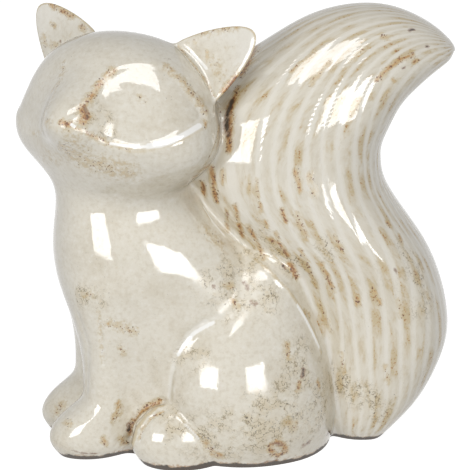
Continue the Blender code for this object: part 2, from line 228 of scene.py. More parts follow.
# Stains of the glaze: kind, strength, width in millimetres, and pixels. The white lines among
# them are painted highlights, not stains
STAINS = (
    # Face
    ("brown", 0.75, 1.1, ((113, 70), (105, 77), (98, 85), (92, 94), (86, 102), (80, 109))),
    ("brown", 0.95, 0.9, ((61, 122), (69, 124))),
    ("dark", 0.75, 0.7, ((84, 107), (87, 117))),
    ("brown", 0.95, 1.2, ((80, 109), (86, 116), (81, 121))),
    ("brown", 0.55, 0.9, ((70, 125), (84, 130), (95, 137), (104, 141), (116, 145), (128, 147))),
    ("dark", 0.55, 0.5, ((86, 131), (90, 134))),
    # Painted highlights on the nose's tip and along the leaf's lower lip
    ("painted_highlight", 0.9, 0.5, ((71, 124), (74, 126))),
    ("painted_highlight", 0.8, 0.5, ((110, 143), (122, 145), (136, 146.5), (152, 146))),
    ("painted_highlight", 1.0, 0.9, ((148, 145.5), (160, 144), (172, 140.5), (186, 133), (199, 125))),
    # Under the jaw: a broad brown haze, partly the glaze's streaks and partly painted shade
    # where the jaw faces down
    ("brown", 0.42, 3.4, ((66, 150), (84, 160), (104, 166), (126, 172))),
    ("brown", 0.30, 2.4, ((66, 128), (74, 142), (86, 152))),
    ("brown", 0.35, 1.2, ((140, 97), (143, 102))),
    ("brown", 0.45, 0.9, ((52, 90), (55, 85))),
    ("brown", 0.5, 1.3, ((166, 65), (185, 84), (199, 101), (205, 111))),
    ("dark", 0.6, 0.4, ((203, 109), (206, 111))),
    ("brown", 0.8, 0.5, ((205, 121), (205, 126))),
    ("brown", 0.35, 1.4, ((58, 146), (66, 144))),
    ("brown", 0.30, 1.6, ((110, 166), (120, 170))),
    ("curl", 0.5, 3.5, ((85, 112), (100, 122), (108, 130))),
    # Ears, and the crease behind the cheek
    ("brown", 0.6, 0.5, ((178, 46), (187, 57), (196, 68), (205, 80), (211, 90), (217, 101),
                         (220, 112))),
    ("brown", 0.6, 0.6, ((219, 126), (214, 146), (207, 160), (197, 175))),
    # Painted highlight in the crease at the near ear's root
    ("painted_highlight", 0.9, 0.5, ((191, 52), (200, 61), (206, 68))),
    ("brown", 1.0, 1.2, ((255, 46), (250, 58), (243, 69), (234, 80), (225, 90))),
    ("dark", 0.5, 0.5, ((236, 76), (226, 88))),
    ("brown", 0.5, 1.0, ((202, 33), (212, 30), (224, 28), (236, 27))),
    ("brown", 0.5, 0.5, ((206, 50), (207, 58))),
    ("brown", 0.3, 2.0, ((213, 62), (219, 74))),
    ("brown", 0.75, 0.9, ((50, 4), (60, 9), (72, 17))),
    ("brown", 1.0, 0.7, ((61, 10), (64, 11))),
    ("brown", 0.65, 0.9, ((80, 26), (84, 28))),
    ("dark", 0.8, 0.35, ((80, 25), (82, 25))),
    ("dark", 0.8, 0.45, ((60, 41), (60, 44))),
    ("brown", 0.45, 1.3, ((43, 37), (44, 43))),
    ("brown", 0.45, 1.2, ((52, 44), (57, 45))),
    ("brown", 0.4, 1.0, ((51, 23), (54, 25))),
    # Tail
    # Painted shade: a dark line in the crevice between the head and the tail
    ("dark", 1.0, 1.0, ((232, 100), (228, 110), (226, 124), (228, 134))),
    ("brown", 0.95, 0.9, ((237, 88), (231, 106), (230, 130), (228, 150))),
    ("brown", 1.0, 0.9, ((211, 167), (213, 182), (216, 200))),
    ("brown", 1.0, 1.0, ((202, 183), (204, 193))),
    ("dark", 0.7, 0.5, ((203, 184), (204, 190))),
    ("brown", 0.7, 0.7, ((222, 170), (223, 182))),
    ("dark", 0.8, 0.4, ((227, 213), (227, 217))),
    ("brown", 0.6, 0.7, ((226, 208), (227, 230))),
    ("brown", 0.75, 0.8, ((235, 205), (237, 218))),
    ("brown", 1.0, 0.8, ((239, 224), (242, 236))),
    ("dark", 0.7, 0.4, ((240, 229), (241, 233))),
    ("brown", 0.75, 0.9, ((248, 226), (256, 240), (264, 257))),
    ("brown", 0.8, 0.6, ((259, 203), (260, 211))),
    ("brown", 0.75, 0.6, ((265, 221), (267, 227))),
    ("brown", 0.55, 0.7, ((256, 180), (258, 196))),
    ("brown", 0.9, 0.7, ((281, 209), (285, 221))),
    ("dark", 0.7, 0.4, ((284, 219), (286, 220))),
    ("brown", 0.75, 0.8, ((295, 170), (300, 190))),
    ("brown", 0.5, 1.3, ((309, 176), (313, 192))),
    ("brown", 0.8, 0.9, ((270, 239), (279, 244), (287, 255))),
    ("dark", 0.7, 0.4, ((271, 240), (273, 241))),
    ("dark", 0.7, 0.4, ((283, 249), (285, 252))),
    ("brown", 0.5, 0.7, ((247, 176), (249, 192))),
    ("brown", 0.6, 0.7, ((275, 232), (280, 246))),
    ("brown", 0.6, 0.8, ((300, 250), (306, 262))),
    ("brown", 0.6, 0.8, ((335, 236), (342, 252))),
    ("brown", 0.6, 0.8, ((372, 286), (380, 304))),
    ("brown", 0.6, 0.8, ((398, 300), (402, 316))),
    ("brown", 0.5, 0.8, ((340, 352), (344, 372))),
    ("brown", 0.5, 0.8, ((384, 366), (388, 382))),
    ("curl", 0.9, 4.0, ((340, 380), (372, 404))),
    ("curl", 0.8, 4.0, ((408, 250), (424, 300))),
    ("brown", 0.6, 0.9, ((296, 214), (306, 238))),
    ("dark", 0.9, 0.5, ((282, 265), (284, 267))),
    ("brown", 1.0, 0.9, ((289, 263), (296, 276))),
    ("dark", 0.6, 0.4, ((292, 268), (294, 272))),
    ("brown", 0.6, 0.8, ((306, 264), (316, 288))),
    ("brown", 0.7, 0.8, ((321, 264), (333, 290))),
    ("dark", 0.6, 0.4, ((327, 278), (329, 281))),
    ("curl", 0.7, 2.2, ((322, 246), (326, 254))),
    ("curl", 0.8, 3.0, ((262, 232), (292, 262))),
    ("brown", 0.5, 0.9, ((318, 300), (330, 330))),
    ("brown", 0.7, 0.9, ((382, 36), (386, 37))),
    ("dark", 0.9, 0.5, ((409, 30), (413, 29))),
    ("dark", 0.9, 0.45, ((426, 46), (428, 46))),
    ("brown", 0.8, 0.8, ((412, 54), (398, 60), (386, 70), (376, 80))),
    ("brown", 1.0, 0.7, ((414, 61), (417, 60))),
    ("dark", 0.9, 0.45, ((402, 68), (404, 67))),
    ("brown", 0.7, 0.5, ((392, 79), (394, 81))),
    ("brown", 0.55, 0.6, ((388, 90), (381, 99))),
    ("brown", 0.55, 0.6, ((361, 99), (351, 116))),
    ("brown", 0.5, 0.9, ((362, 48), (350, 60))),
    ("brown", 0.6, 0.7, ((330, 60), (310, 84))),
    ("brown", 0.6, 0.6, ((300, 60), (290, 72))),
    ("brown", 0.7, 0.7, ((387, 222), (390, 226))),
    ("brown", 0.7, 0.7, ((399, 236), (402, 242))),
    ("dark", 0.7, 0.5, ((394, 269), (396, 272))),
    ("brown", 0.7, 0.8, ((415, 272), (419, 280))),
    ("brown", 0.6, 0.8, ((425, 290), (428, 297))),
    ("brown", 0.9, 0.9, ((356, 298), (358, 303))),
    # Painted highlight along the raised line between the body and the tail
    ("painted_highlight", 0.6, 0.5, ((203, 206), (212, 221), (224, 235))),
    # Body and forelegs
    ("brown", 0.5, 1.4, ((107, 323), (124, 327), (134, 331))),
    ("brown", 0.35, 0.6, ((98, 312), (100, 335), (103, 362))),
    ("brown", 0.55, 0.9, ((121, 347), (123, 352))),
    ("brown", 0.5, 1.0, ((83, 296), (91, 294))),
    ("curl", 0.8, 3.0, ((80, 296), (94, 300))),
    ("curl", 0.9, 2.6, ((184, 356), (202, 361))),
    ("curl", 1.0, 3.2, ((226, 309), (246, 304))),
    ("curl", 0.9, 5.0, ((212, 286), (240, 262))),
    ("curl", 0.8, 5.0, ((244, 290), (264, 300))),
    ("dark", 0.65, 0.6, ((213, 285), (214, 288))),
    ("dark", 0.7, 0.7, ((243, 282), (248, 288))),
    ("brown", 0.6, 0.9, ((226, 285), (231, 286))),
    ("brown", 0.7, 0.8, ((232, 300), (236, 305))),
    ("dark", 0.55, 0.7, ((250, 302), (256, 304))),
    ("brown", 0.35, 2.2, ((206, 229), (219, 243))),
    # Haunch
    # Painted highlights along the haunch's crease and along the seam with the tail
    ("painted_highlight", 0.9, 0.6, ((178, 354), (184, 343), (193, 333), (203, 327), (213, 322))),
    ("painted_highlight", 0.8, 0.5, ((297, 305), (305, 318), (312, 332), (319, 347))),
    ("brown", 0.6, 1.0, ((305, 312), (309, 316))),
    ("brown", 0.75, 0.9, ((286, 345), (288, 356))),
    ("dark", 0.9, 0.7, ((303, 368), (302, 376))),
    ("brown", 0.8, 0.8, ((299, 382), (297, 389))),
    ("brown", 0.7, 0.8, ((317, 380), (319, 387))),
    ("curl", 0.8, 4.0, ((296, 350), (308, 392))),
    ("curl", 1.0, 6.0, ((214, 440), (246, 432), (280, 424), (312, 412))),
    ("curl", 0.8, 5.0, ((262, 402), (300, 396))),
    ("brown", 0.85, 1.0, ((270, 446), (276, 441), (284, 444), (285, 451), (277, 455),
                          (270, 451), (270, 446))),
    ("dark", 0.8, 0.6, ((272, 443), (282, 444))),
    ("brown", 0.6, 1.2, ((286, 421), (294, 425))),
    ("dark", 0.9, 0.8, ((327, 433), (330, 431))),
    ("dark", 0.7, 0.8, ((303, 445), (308, 442))),
    ("brown", 0.7, 1.2, ((205, 442), (213, 453), (220, 455))),
    # Paws and foot line
    ("brown", 0.6, 1.0, ((118, 402), (117, 411))),
    ("brown", 0.55, 1.4, ((118, 410), (114, 418))),
    ("brown", 0.7, 0.9, ((103, 438), (105, 444))),
    ("brown", 0.7, 1.0, ((121, 438), (125, 443))),
    ("brown", 0.5, 1.0, ((65, 421), (70, 424))),
    ("brown", 0.45, 1.5, ((56, 412), (62, 404))),
    ("dark", 1.0, 0.8, ((128, 430), (129, 424))),
    ("brown", 0.9, 0.9, ((129, 434), (134, 420), (146, 407), (160, 400))),
    ("brown", 0.6, 0.5, ((139, 438), (143, 427), (152, 417), (163, 411))),
    ("curl", 0.6, 2.4, ((166, 414), (180, 432))),
    # Painted highlight in the crease behind the hind paw
    ("painted_highlight", 0.5, 0.5, ((185, 424), (192, 431), (198, 438))),
    ("dark", 0.6, 0.4, ((72, 450), (84, 453), (96, 453))),
    ("dark", 0.5, 0.4, ((112, 452), (130, 449))),
    ("dark", 0.5, 0.4, ((140, 462), (158, 466))),
    ("dark", 0.9, 0.8, ((178, 468), (206, 467))),
    ("dark", 0.8, 0.7, ((232, 466), (244, 465))),
    ("dark", 0.8, 0.7, ((262, 463), (276, 460))),
)

# The fox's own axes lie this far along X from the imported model's, whose tail ends at
# TAIL_REACH in the fox's axes
TAIL_REACH = 0.0763
SHIFT = np.array((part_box("tail_shell")[1][0] - TAIL_REACH, 0.0, 0.0))


class Curve:
    """A natural cubic spline through rows of values, straight beyond its two ends."""

    def __init__(self, places, values):
        x, y = np.asarray(places, float), np.asarray(values, float)
        gap = np.diff(x)
        rise = np.diff(y, axis=0) / gap[:, None]
        count = len(x)
        system = np.eye(count)
        right = np.zeros_like(y)
        for i in range(1, count - 1):
            system[i, i - 1:i + 2] = gap[i - 1], 2 * (gap[i - 1] + gap[i]), gap[i]
            right[i] = 6 * (rise[i] - rise[i - 1])
        bend = np.linalg.solve(system, right)
        self.places, self.flat = x, y[:-1]
        self.first = rise - gap[:, None] * (2 * bend[:-1] + bend[1:]) / 6
        self.second = bend[:-1] / 2
        self.third = np.diff(bend, axis=0) / (6 * gap[:, None])

    def __call__(self, at):
        """The values and their slopes at each place."""
        within = np.clip(at, self.places[0], self.places[-1])
        span = np.clip(np.searchsorted(self.places, within) - 1, 0, len(self.flat) - 1)
        t = (within - self.places[span])[:, None]
        a, b, c, d = self.flat[span], self.first[span], self.second[span], self.third[span]
        slope = b + t * (2 * c + 3 * t * d)
        value = a + t * (b + t * (c + t * d)) + slope * (at - within)[:, None]
        return value.T, slope.T


def smoothstep(low, high, value):
    """0 below low, 1 above high, eased between."""
    t = np.clip((value - low) / (high - low), 0, 1)
    return t * t * (3 - 2 * t)


def swell(distance, width):
    """A rounded bump of height 1 that dies away over the width."""
    return np.exp(-(distance / width) ** 2)


def camera_axes():
    """Right, up and backward unit vectors of the camera."""
    a, e = CAMERA_AZIMUTH, CAMERA_ELEVATION
    right = np.array((np.cos(a), np.sin(a), 0.0))
    up = np.array((-np.sin(a) * np.sin(e), np.cos(a) * np.sin(e), np.cos(e)))
    return right, up, np.cross(right, up)


SMALL_FORM = 0.02
SMALL_MARGIN = 0.012
LARGE_MARGIN = 0.024
ROW_SPACING = 1.15


class Standing:
    """An upright form: an oval at each height, whose centre, half length and half width
    follow splines, closed above by a crown that scales the oval by a quarter ellipse. The
    ridge is the share of the half length by which the oval's widest line lies back."""

    def __init__(self, stations, crown, mid_y, around, rows, crown_rows, fullness=2.0,
                 ridge=0.0):
        table = np.array(stations)
        middle, half = 0.5 * (table[:, 1] + table[:, 2]), 0.5 * (table[:, 2] - table[:, 1])
        self.oval = Curve(table[:, 0], np.column_stack((middle, half, table[:, 3])))
        self.top, self.crown, self.mid_y = table[-1, 0], crown, mid_y
        self.fullness, self.ridge = fullness, ridge
        self.grid = around, rows, crown_rows
        margin = SMALL_MARGIN if half.max() < SMALL_FORM else LARGE_MARGIN
        self.low = np.array((table[:, 1].min(), mid_y - table[:, 3].max(), -1)) - margin
        self.high = np.array((table[:, 2].max(), mid_y + table[:, 3].max(),
                              self.top + crown)) + margin

    def distance(self, p):
        """(g - 1) / |gradient of g|, where g is the point's share of the way to the oval."""
        n = self.fullness
        level = np.clip(p[:, 2], 0, self.top + 0.8 * self.crown)
        (middle, half, wide), (d_middle, d_half, d_wide) = self.oval(level)
        x, y = (p[:, 0] - middle) / half, (p[:, 1] - self.mid_y) / wide
        w = np.maximum(p[:, 2] - self.top, 0) / self.crown
        stretch = 1 + self.ridge * np.sign(self.ridge - x)
        share = (x - self.ridge) / stretch
        r = (np.abs(share) ** n + np.abs(y) ** n) ** (1 / n) + 1e-6
        by_x = np.sign(share) * r * (np.abs(share) / r) ** (n - 1) / stretch
        by_y = np.sign(y) * r * (np.abs(y) / r) ** (n - 1)
        up = -by_x * (d_middle + x * d_half) / half - by_y * y * d_wide / wide + w / self.crown
        g = np.sqrt(r * r + w * w)
        return (g - 1) * g / np.sqrt((by_x / half) ** 2 + (by_y / wide) ** 2 + up ** 2 + 1e-6)

    def surface(self):
        """Start points and outward directions, in rows from the foot to the crown's pole."""
        around, rows, crown_rows = self.grid
        turn = np.arange(around) * 2 * np.pi / around
        z = np.linspace(0, 1, rows) ** ROW_SPACING * self.top
        tilt = np.linspace(0, 0.5 * np.pi, crown_rows + 1)[1:]
        z = np.concatenate((z, self.top + self.crown * np.sin(tilt)))
        shrink = np.concatenate((np.ones(rows), np.cos(tilt)))
        (middle, half, wide), (d_middle, d_half, d_wide) = self.oval(z)
        cos, sin = np.cos(turn)[None, :], np.sin(turn)[None, :]
        n = self.fullness
        reach = shrink[:, None] * (np.abs(cos) ** n + np.abs(sin) ** n) ** (-1 / n)
        share = reach * cos
        share = self.ridge * shrink[:, None] + share * (1 - self.ridge * np.sign(share))
        x = middle[:, None] + half[:, None] * share
        y = self.mid_y + wide[:, None] * reach * sin
        p = np.stack((x, y, np.broadcast_to(z[:, None], x.shape)), axis=2)
        w = np.sqrt(1 - shrink ** 2)[:, None]
        s = shrink[:, None]
        up = (-s * cos * (d_middle[:, None] + s * cos * d_half[:, None]) / half[:, None]
              - (s * sin) ** 2 * (d_wide / wide)[:, None] + w / self.crown)
        out = np.stack((s * cos / half[:, None], s * sin / wide[:, None], up), axis=2)
        out /= np.linalg.norm(out, axis=2, keepdims=True)
        return p, out


def head_axes():
    """Unit vectors of the head: to its left side, out of its face, and up."""
    left = np.array((np.cos(HEAD_TURN), -np.sin(HEAD_TURN), 0.0))
    ahead = np.array((-np.sin(HEAD_TURN), -np.cos(HEAD_TURN), 0.0))
    up = np.array((0.0, 0.0, 1.0))
    return np.array((left * np.cos(HEAD_ROLL) + up * np.sin(HEAD_ROLL), ahead,
                     up * np.cos(HEAD_ROLL) - left * np.sin(HEAD_ROLL)))


HEAD_AXES = head_axes()


def in_head(p):
    """Points of the fox's axes as (side, ahead, up) from the head's centre."""
    return (p - np.array(HEAD_CENTRE)) @ HEAD_AXES.T


def from_head(offsets):
    """The fox's axes again, from (side, ahead, up)."""
    return np.array(HEAD_CENTRE) + np.asarray(offsets) @ HEAD_AXES


def directions(around, rise):
    """Unit vectors (side, ahead, up) for angles around from the nose and up."""
    around, rise = np.radians(around), np.radians(rise)
    return np.stack((np.sin(around) * np.cos(rise), np.cos(around) * np.cos(rise),
                     np.sin(rise)), axis=-1)


class Leaf:
    """The sunk panel of the cheek. Directions are laid on the plane that touches the
    cheek at the leaf's middle (a stereographic map), and the outline is a closed spline
    there: its distance from the middle is a function of the bearing."""

    def __init__(self):
        self.middle = directions(*LEAF_MIDDLE)
        self.right = np.cross(self.middle, (0.0, 0.0, 1.0))
        self.right *= np.sign(self.right[0]) / np.linalg.norm(self.right)
        self.up = np.cross(self.right, self.middle)
        self.up *= np.sign(self.up[2])
        points = np.array(LEAF_OUTLINE, float)
        bearing, reach = self.bearing(directions(points[:, 0], points[:, 1]))
        order = np.argsort(bearing)
        bearing, reach = bearing[order], reach[order]
        wrap = 3
        bearing = np.concatenate((bearing[-wrap:] - 2 * np.pi, bearing,
                                  bearing[:wrap] + 2 * np.pi))
        reach = np.concatenate((reach[-wrap:], reach, reach[:wrap]))
        self.outline = Curve(bearing, reach[:, None])

    def bearing(self, unit):
        """Angle and distance from the middle on the touching plane."""
        scale = 2 / (1 + np.clip(unit @ self.middle, -0.99, 1))
        x, y = scale * (unit @ self.right), scale * (unit @ self.up)
        return np.arctan2(y, x), np.hypot(x, y)

    def depth_inside(self, unit, radius):
        """Distance inside the outline, in metres on a head of that radius; the share of
        the way from the middle to the outline; and the place on the touching plane."""
        bearing, reach = self.bearing(unit)
        (edge,), (slope,) = self.outline(bearing)
        inside = radius * (edge - reach) / np.sqrt(1 + (slope / edge) ** 2)
        return inside, reach / edge, reach * np.cos(bearing), reach * np.sin(bearing)

    def relief(self, unit, radius):
        """The step down inside the outline, deeper below than above, to a floor that is
        flatter than the cheek; and the rounded lip just outside it."""
        inside, share, right, height = self.depth_inside(unit, radius)
        below = smoothstep(LEAF_DEEP_FROM, LEAF_DEEP_TO, height)
        depth = LEAF_DEPTH_TOP + (LEAF_DEPTH_BELOW - LEAF_DEPTH_TOP) * below
        corner = LEAF_CORNER + (1 - LEAF_CORNER) * smoothstep(*LEAF_CORNER_SPAN, right)
        floor = depth * corner + LEAF_FLATNESS * (1 - np.minimum(share, 1.2) ** 2)
        wall = smoothstep(-0.35 * LEAF_WALL, LEAF_WALL, inside)
        lip = LEAF_LIP * swell(inside + 0.9 * LEAF_LIP_WIDTH, LEAF_LIP_WIDTH)
        return lip * depth / LEAF_DEPTH_BELOW - floor * wall


LEAF = Leaf()


class Head:
    """A skull whose radius is a function of direction: a superellipsoid, fuller behind,
    plus the cheeks and the nose, with the leaf relief on each side of the face."""

    low = np.array(HEAD_CENTRE) - HEAD_REACH
    high = np.array(HEAD_CENTRE) + HEAD_REACH
    grid = 400, 236

    def radius(self, unit):
        """Distance of the skin from the centre in each direction."""
        side, ahead, up = unit[:, 0], unit[:, 1], unit[:, 2]
        height = HEAD_DOWN + (HEAD_UP - HEAD_DOWN) * (0.5 + 0.5 * np.tanh(up / CROWN_TURN))
        toward_back = 0.5 - 0.5 * np.clip(ahead / FULLNESS_TURN, -1, 1)
        power = FULLNESS_FRONT + (FULLNESS_BACK - FULLNESS_FRONT) * toward_back
        soft = SKULL_SOFTNESS / HEAD_DEPTH
        shares = (side / HEAD_HALF_WIDTH, ahead / HEAD_DEPTH, up / height)
        total = sum((s * s + soft ** 2) ** (0.5 * power) - soft ** power for s in shares)
        radius = total ** (-1.0 / power)
        around = np.arctan2(np.sqrt(side ** 2 + 1e-5), ahead)
        rise = np.arcsin(np.clip(up, -1, 1))
        cheek = (swell(around - CHEEK["around"], CHEEK["spread"][0])
                 * swell(rise - CHEEK["rise"], CHEEK["spread"][1]))
        lift = rise - NOSE["rise"]
        nose = (swell(around, NOSE["spread"])
                * swell(lift, np.where(lift > 0, NOSE["above"], NOSE["below"])))
        radius = radius + CHEEK["height"] * cheek + NOSE["height"] * nose
        folded = np.stack((np.abs(side), ahead, up), axis=1)
        far_side = smoothstep(*FAR_SIDE, side)
        return radius + LEAF.relief(folded, radius) * (1 + (FAR_LEAF - 1) * far_side)

    def distance(self, p):
        """How far each point lies outside the skin, along the line from the centre."""
        offset = in_head(p)
        far = np.linalg.norm(offset, axis=1) + 1e-9
        return far - self.radius(offset / far[:, None])

    def surface(self):
        """Directions by longitude and latitude, from under the chin to the top."""
        around, rows = self.grid
        turn = np.arange(around) * 2 * np.pi / around
        rise = np.linspace(-0.5 * np.pi, 0.5 * np.pi, rows + 1)[1:]
        cos = np.cos(rise)[:, None]
        unit = np.stack((np.sin(turn) * cos, np.cos(turn) * cos,
                         np.broadcast_to(np.sin(rise)[:, None], (rows, around))), axis=2)
        radius = self.radius(unit.reshape(-1, 3)).reshape(rows, around, 1)
        return from_head(unit * radius), unit @ HEAD_AXES


class Ear:
    """A petal: oval sections across its axis that taper to a blunt tip, bent back in the
    middle so that the front is a shallow cup."""

    def __init__(self, side):
        self.root = np.array(EAR_ROOT) * (side, 1, 1)
        axis = np.array(EAR_TIP) * (side, 1, 1) - self.root
        self.length = np.linalg.norm(axis)
        self.axis = axis / self.length
        self.across = np.cross((0.0, 1.0, 0.0), self.axis)
        self.across /= np.linalg.norm(self.across)
        self.front = np.cross(self.axis, self.across)
        self.front *= np.sign(self.front[1])
        cos, sin = np.cos(side * EAR_TURN), np.sin(side * EAR_TURN)
        self.across, self.front = (self.across * cos + self.front * sin,
                                   self.front * cos - self.across * sin)
        self.grid = 132, 84
        ends = from_head(np.array((self.root, self.root + axis)))
        self.low, self.high = ends.min(0) - EAR_REACH, ends.max(0) + EAR_REACH

    def taper(self, t):
        """Square of the section's share of full size, and its slope; below 0 past the tip."""
        ahead = np.maximum(t, 0)
        blunt, narrow = 1 - ahead ** EAR_BLUNTNESS, 1 - EAR_TAPER * np.minimum(ahead, 1.2)
        slope = (-EAR_BLUNTNESS * ahead ** (EAR_BLUNTNESS - 1) * narrow
                 - 2 * EAR_TAPER * blunt) * narrow
        return blunt * narrow ** 2, np.where(t > 0, slope, 0)

    def mid_front(self, wide, taper):
        """Where the middle of the ear's thickness lies, across its width."""
        return -EAR_CUP * (taper - wide ** 2) - EAR_SET_BACK * np.sqrt(np.maximum(taper, 0))

    def distance(self, p):
        """(g - 1) / |gradient of g|, where g is the point's share of the way to the petal's
        section, and grows again below the buried root."""
        offset = in_head(p) - self.root
        along = offset @ self.axis
        wide = offset @ self.across / EAR_HALF_WIDTH
        taper, slope = self.taper(along / self.length)
        deep = (offset @ self.front - self.mid_front(wide, taper)) / EAR_HALF_THICKNESS
        buried = np.maximum(-along - EAR_SINK, 0) / (0.5 * EAR_SINK)
        g = np.sqrt(np.maximum(wide ** 2 + deep ** 2 + 1 - taper + buried ** 2, 1e-6))
        steep = np.sqrt((wide / EAR_HALF_WIDTH) ** 2 + (deep / EAR_HALF_THICKNESS) ** 2
                        + (0.5 * slope / self.length) ** 2 + 1.0)
        return (g - 1) * g / steep

    def surface(self):
        """Rings of the section's angle, from the buried root to the tip."""
        around, rows = self.grid
        turn = np.arange(around) * 2 * np.pi / around
        t = np.sin(np.linspace(EAR_START, 0.5 * np.pi, rows))
        t[-1] = 1.0
        taper, slope = self.taper(t)
        share = np.sqrt(np.maximum(taper, 0))[:, None]
        cos, sin = np.cos(turn)[None, :], np.sin(turn)[None, :]
        wide = share * cos
        deep = (self.mid_front(wide, taper[:, None]) + EAR_HALF_THICKNESS * share * sin)
        offset = (self.root + (t * self.length)[:, None, None] * self.axis
                  + (wide * EAR_HALF_WIDTH)[:, :, None] * self.across
                  + deep[:, :, None] * self.front)
        out = (share[:, :, None] * (cos[:, :, None] * self.across / EAR_HALF_WIDTH
                                    + sin[:, :, None] * self.front / EAR_HALF_THICKNESS)
               - (0.5 * slope / self.length)[:, None, None] * self.axis)
        out /= np.linalg.norm(out, axis=2, keepdims=True) + 1e-9
        return from_head(offset), out @ HEAD_AXES


class Tail:
    """Ovals in planes that fan along the tail's S curve, widest behind their middle. A
    point belongs to the section whose plane it lies in; combed lines run lengthwise at
    equal angles of the section."""

    low = np.array((-0.035, -0.045, -1.0))
    high = np.array((0.092, 0.045, 0.165))
    grid = 10 * COMB_TEETH, 260
    map_step = 0.001

    def __init__(self):
        table = np.array(TAIL)
        front, back = table[:, (0, 1)], table[:, (2, 3)]
        middle, spoke = 0.5 * (front + back), 0.5 * (back - front)
        half = np.linalg.norm(spoke, axis=1)
        lean = np.unwrap(np.arctan2(spoke[:, 1], spoke[:, 0]))
        rows = np.column_stack((middle, lean, half ** 2, table[:, 4] ** 2))
        tip = (*TAIL_TIP, 2 * lean[-1] - lean[-2], 0.0, 0.0)
        rows = np.vstack((rows, tip))
        strides = np.linalg.norm(np.diff(rows[:, :2], axis=0), axis=1)
        self.places = np.concatenate(((0,), np.cumsum(np.maximum(strides, 2 * MM))))
        self.end = self.places[-1]
        self.spine = Curve(self.places, rows)
        share, sweep = np.array(COMB_SWEEP).T
        self.sweep = Curve(share, sweep[:, None])
        self.make_map()

    def make_map(self):
        """For each point of a net over the plane Y = 0, the place along the tail whose
        section passes through it, and of those the one whose middle is nearest."""
        x = np.arange(self.low[0], self.high[0], self.map_step)
        z = np.arange(0.0, self.high[2], self.map_step)
        net = np.stack(np.meshgrid(x, z, indexing="ij"), axis=2).reshape(-1, 2)
        places = np.linspace(0, self.end, 400)
        (mx, mz, lean, _, _), _ = self.spine(places)
        dx, dz = net[:, 0:1] - mx, net[:, 1:2] - mz
        ahead = -np.sin(lean) * dx + np.cos(lean) * dz
        out = np.abs(np.cos(lean) * dx + np.sin(lean) * dz)
        passes = (ahead[:, :-1] > 0) & (ahead[:, 1:] <= 0)
        best = np.argmin(out[:, :-1] + ~passes, axis=1)
        found = places[best]
        none = ~passes.any(axis=1)
        found[none] = np.where(ahead[none, 0] <= 0, 0, self.end)
        self.map = found.reshape(len(x), len(z))

    def place_of(self, x, z):
        """Place along the tail: read from the map, then refined by Newton's rule."""
        i = np.clip((x - self.low[0]) / self.map_step, 0, self.map.shape[0] - 1.001)
        k = np.clip(z / self.map_step, 0, self.map.shape[1] - 1.001)
        i0, k0 = i.astype(int), k.astype(int)
        di, dk = i - i0, k - k0
        t = (self.map[i0, k0] * (1 - di) * (1 - dk) + self.map[i0 + 1, k0] * di * (1 - dk)
             + self.map[i0, k0 + 1] * (1 - di) * dk + self.map[i0 + 1, k0 + 1] * di * dk)
        for _ in range(3):
            (mx, mz, lean, _, _), (dmx, dmz, dlean, _, _) = self.spine(t)
            cos, sin = np.cos(lean), np.sin(lean)
            ahead = -sin * (x - mx) + cos * (z - mz)
            slope = sin * dmx - cos * dmz - dlean * (cos * (x - mx) + sin * (z - mz))
            move = np.clip(ahead / np.minimum(slope, -0.2), -4 * MM, 4 * MM)
            t = np.clip(t - move, 0, self.end)
        return t

    def wave(self, angle, place):
        """1 in the middle of a combed line, -1 between two: equal angles, swept along the
        tail and drawn a little unevenly."""
        round_from_back = np.abs(angle)
        fade = (smoothstep(0, COMB_EDGE, round_from_back)
                * smoothstep(0, COMB_EDGE, np.pi - round_from_back))
        (sweep,), _ = self.sweep(place / self.end)
        line = round_from_back + np.radians(sweep) * fade
        sway = 0.7 * np.sin(5 * line + 25 * place) + 0.5 * np.sin(11 * line - 60 * place)
        return np.cos(COMB_TEETH * line + sway)

    def comb(self, angle, place, half):
        """Depth of the combed lines: narrow shallow valleys between broad ribs."""
        valley = smoothstep(0.1, 1.0, self.wave(angle, place))
        uneven = 0.75 + 0.25 * np.sin(9 * angle + 70 * place)
        return COMB_DEPTH * valley * uneven * np.minimum(1, half / COMB_FADE)

    def section(self, p):
        """Place along the tail, the section's half sizes there, and the point's shares of
        them, u and v, how far it is past the plane, and the slopes of u and v along it."""
        z = np.maximum(p[:, 2], 0)
        t = self.place_of(p[:, 0], z)
        (mx, mz, lean, half2, wide2), (dmx, dmz, dlean, dhalf2, dwide2) = self.spine(t)
        half, wide = np.sqrt(np.maximum(half2, 1e-8)), np.sqrt(np.maximum(wide2, 1e-8))
        cos, sin = np.cos(lean), np.sin(lean)
        out = cos * (p[:, 0] - mx) + sin * (z - mz)
        ahead = -sin * (p[:, 0] - mx) + cos * (z - mz)
        run = np.maximum(-sin * dmx + cos * dmz + dlean * out, 0.2)
        u, v = out / half, p[:, 1] / wide
        du = -(cos * dmx + sin * dmz) / half - u * 0.5 * dhalf2 / half ** 2
        dv = -v * 0.5 * dwide2 / wide ** 2
        return t, half, wide, u, v, ahead, du / run, dv / run

    def distance(self, p):
        """(g - 1) / |gradient of g|, where g is the point's share of the way to the oval of
        its section, more past the tail's two ends and in the combed valleys."""
        place, half, wide, u, v, ahead, du, dv = self.section(p)
        n = TAIL_FULLNESS
        stretch = 1 + TAIL_RIDGE * np.sign(TAIL_RIDGE - u)
        w = (u - TAIL_RIDGE) / stretch
        g = (np.abs(w) ** n + np.abs(v) ** n) ** (1 / n) + 1e-6
        by_u = np.sign(w) * g * (np.abs(w) / g) ** (n - 1) / stretch
        by_v = np.sign(v) * g * (np.abs(v) / g) ** (n - 1)
        along = by_u * du + by_v * dv
        steep = np.sqrt((by_u / half) ** 2 + (by_v / wide) ** 2 + along ** 2 + 1e-6)
        plain = (g - 1) * g / steep + 0.8 * np.abs(ahead)
        return plain + self.comb(np.arctan2(v, u), place, half)

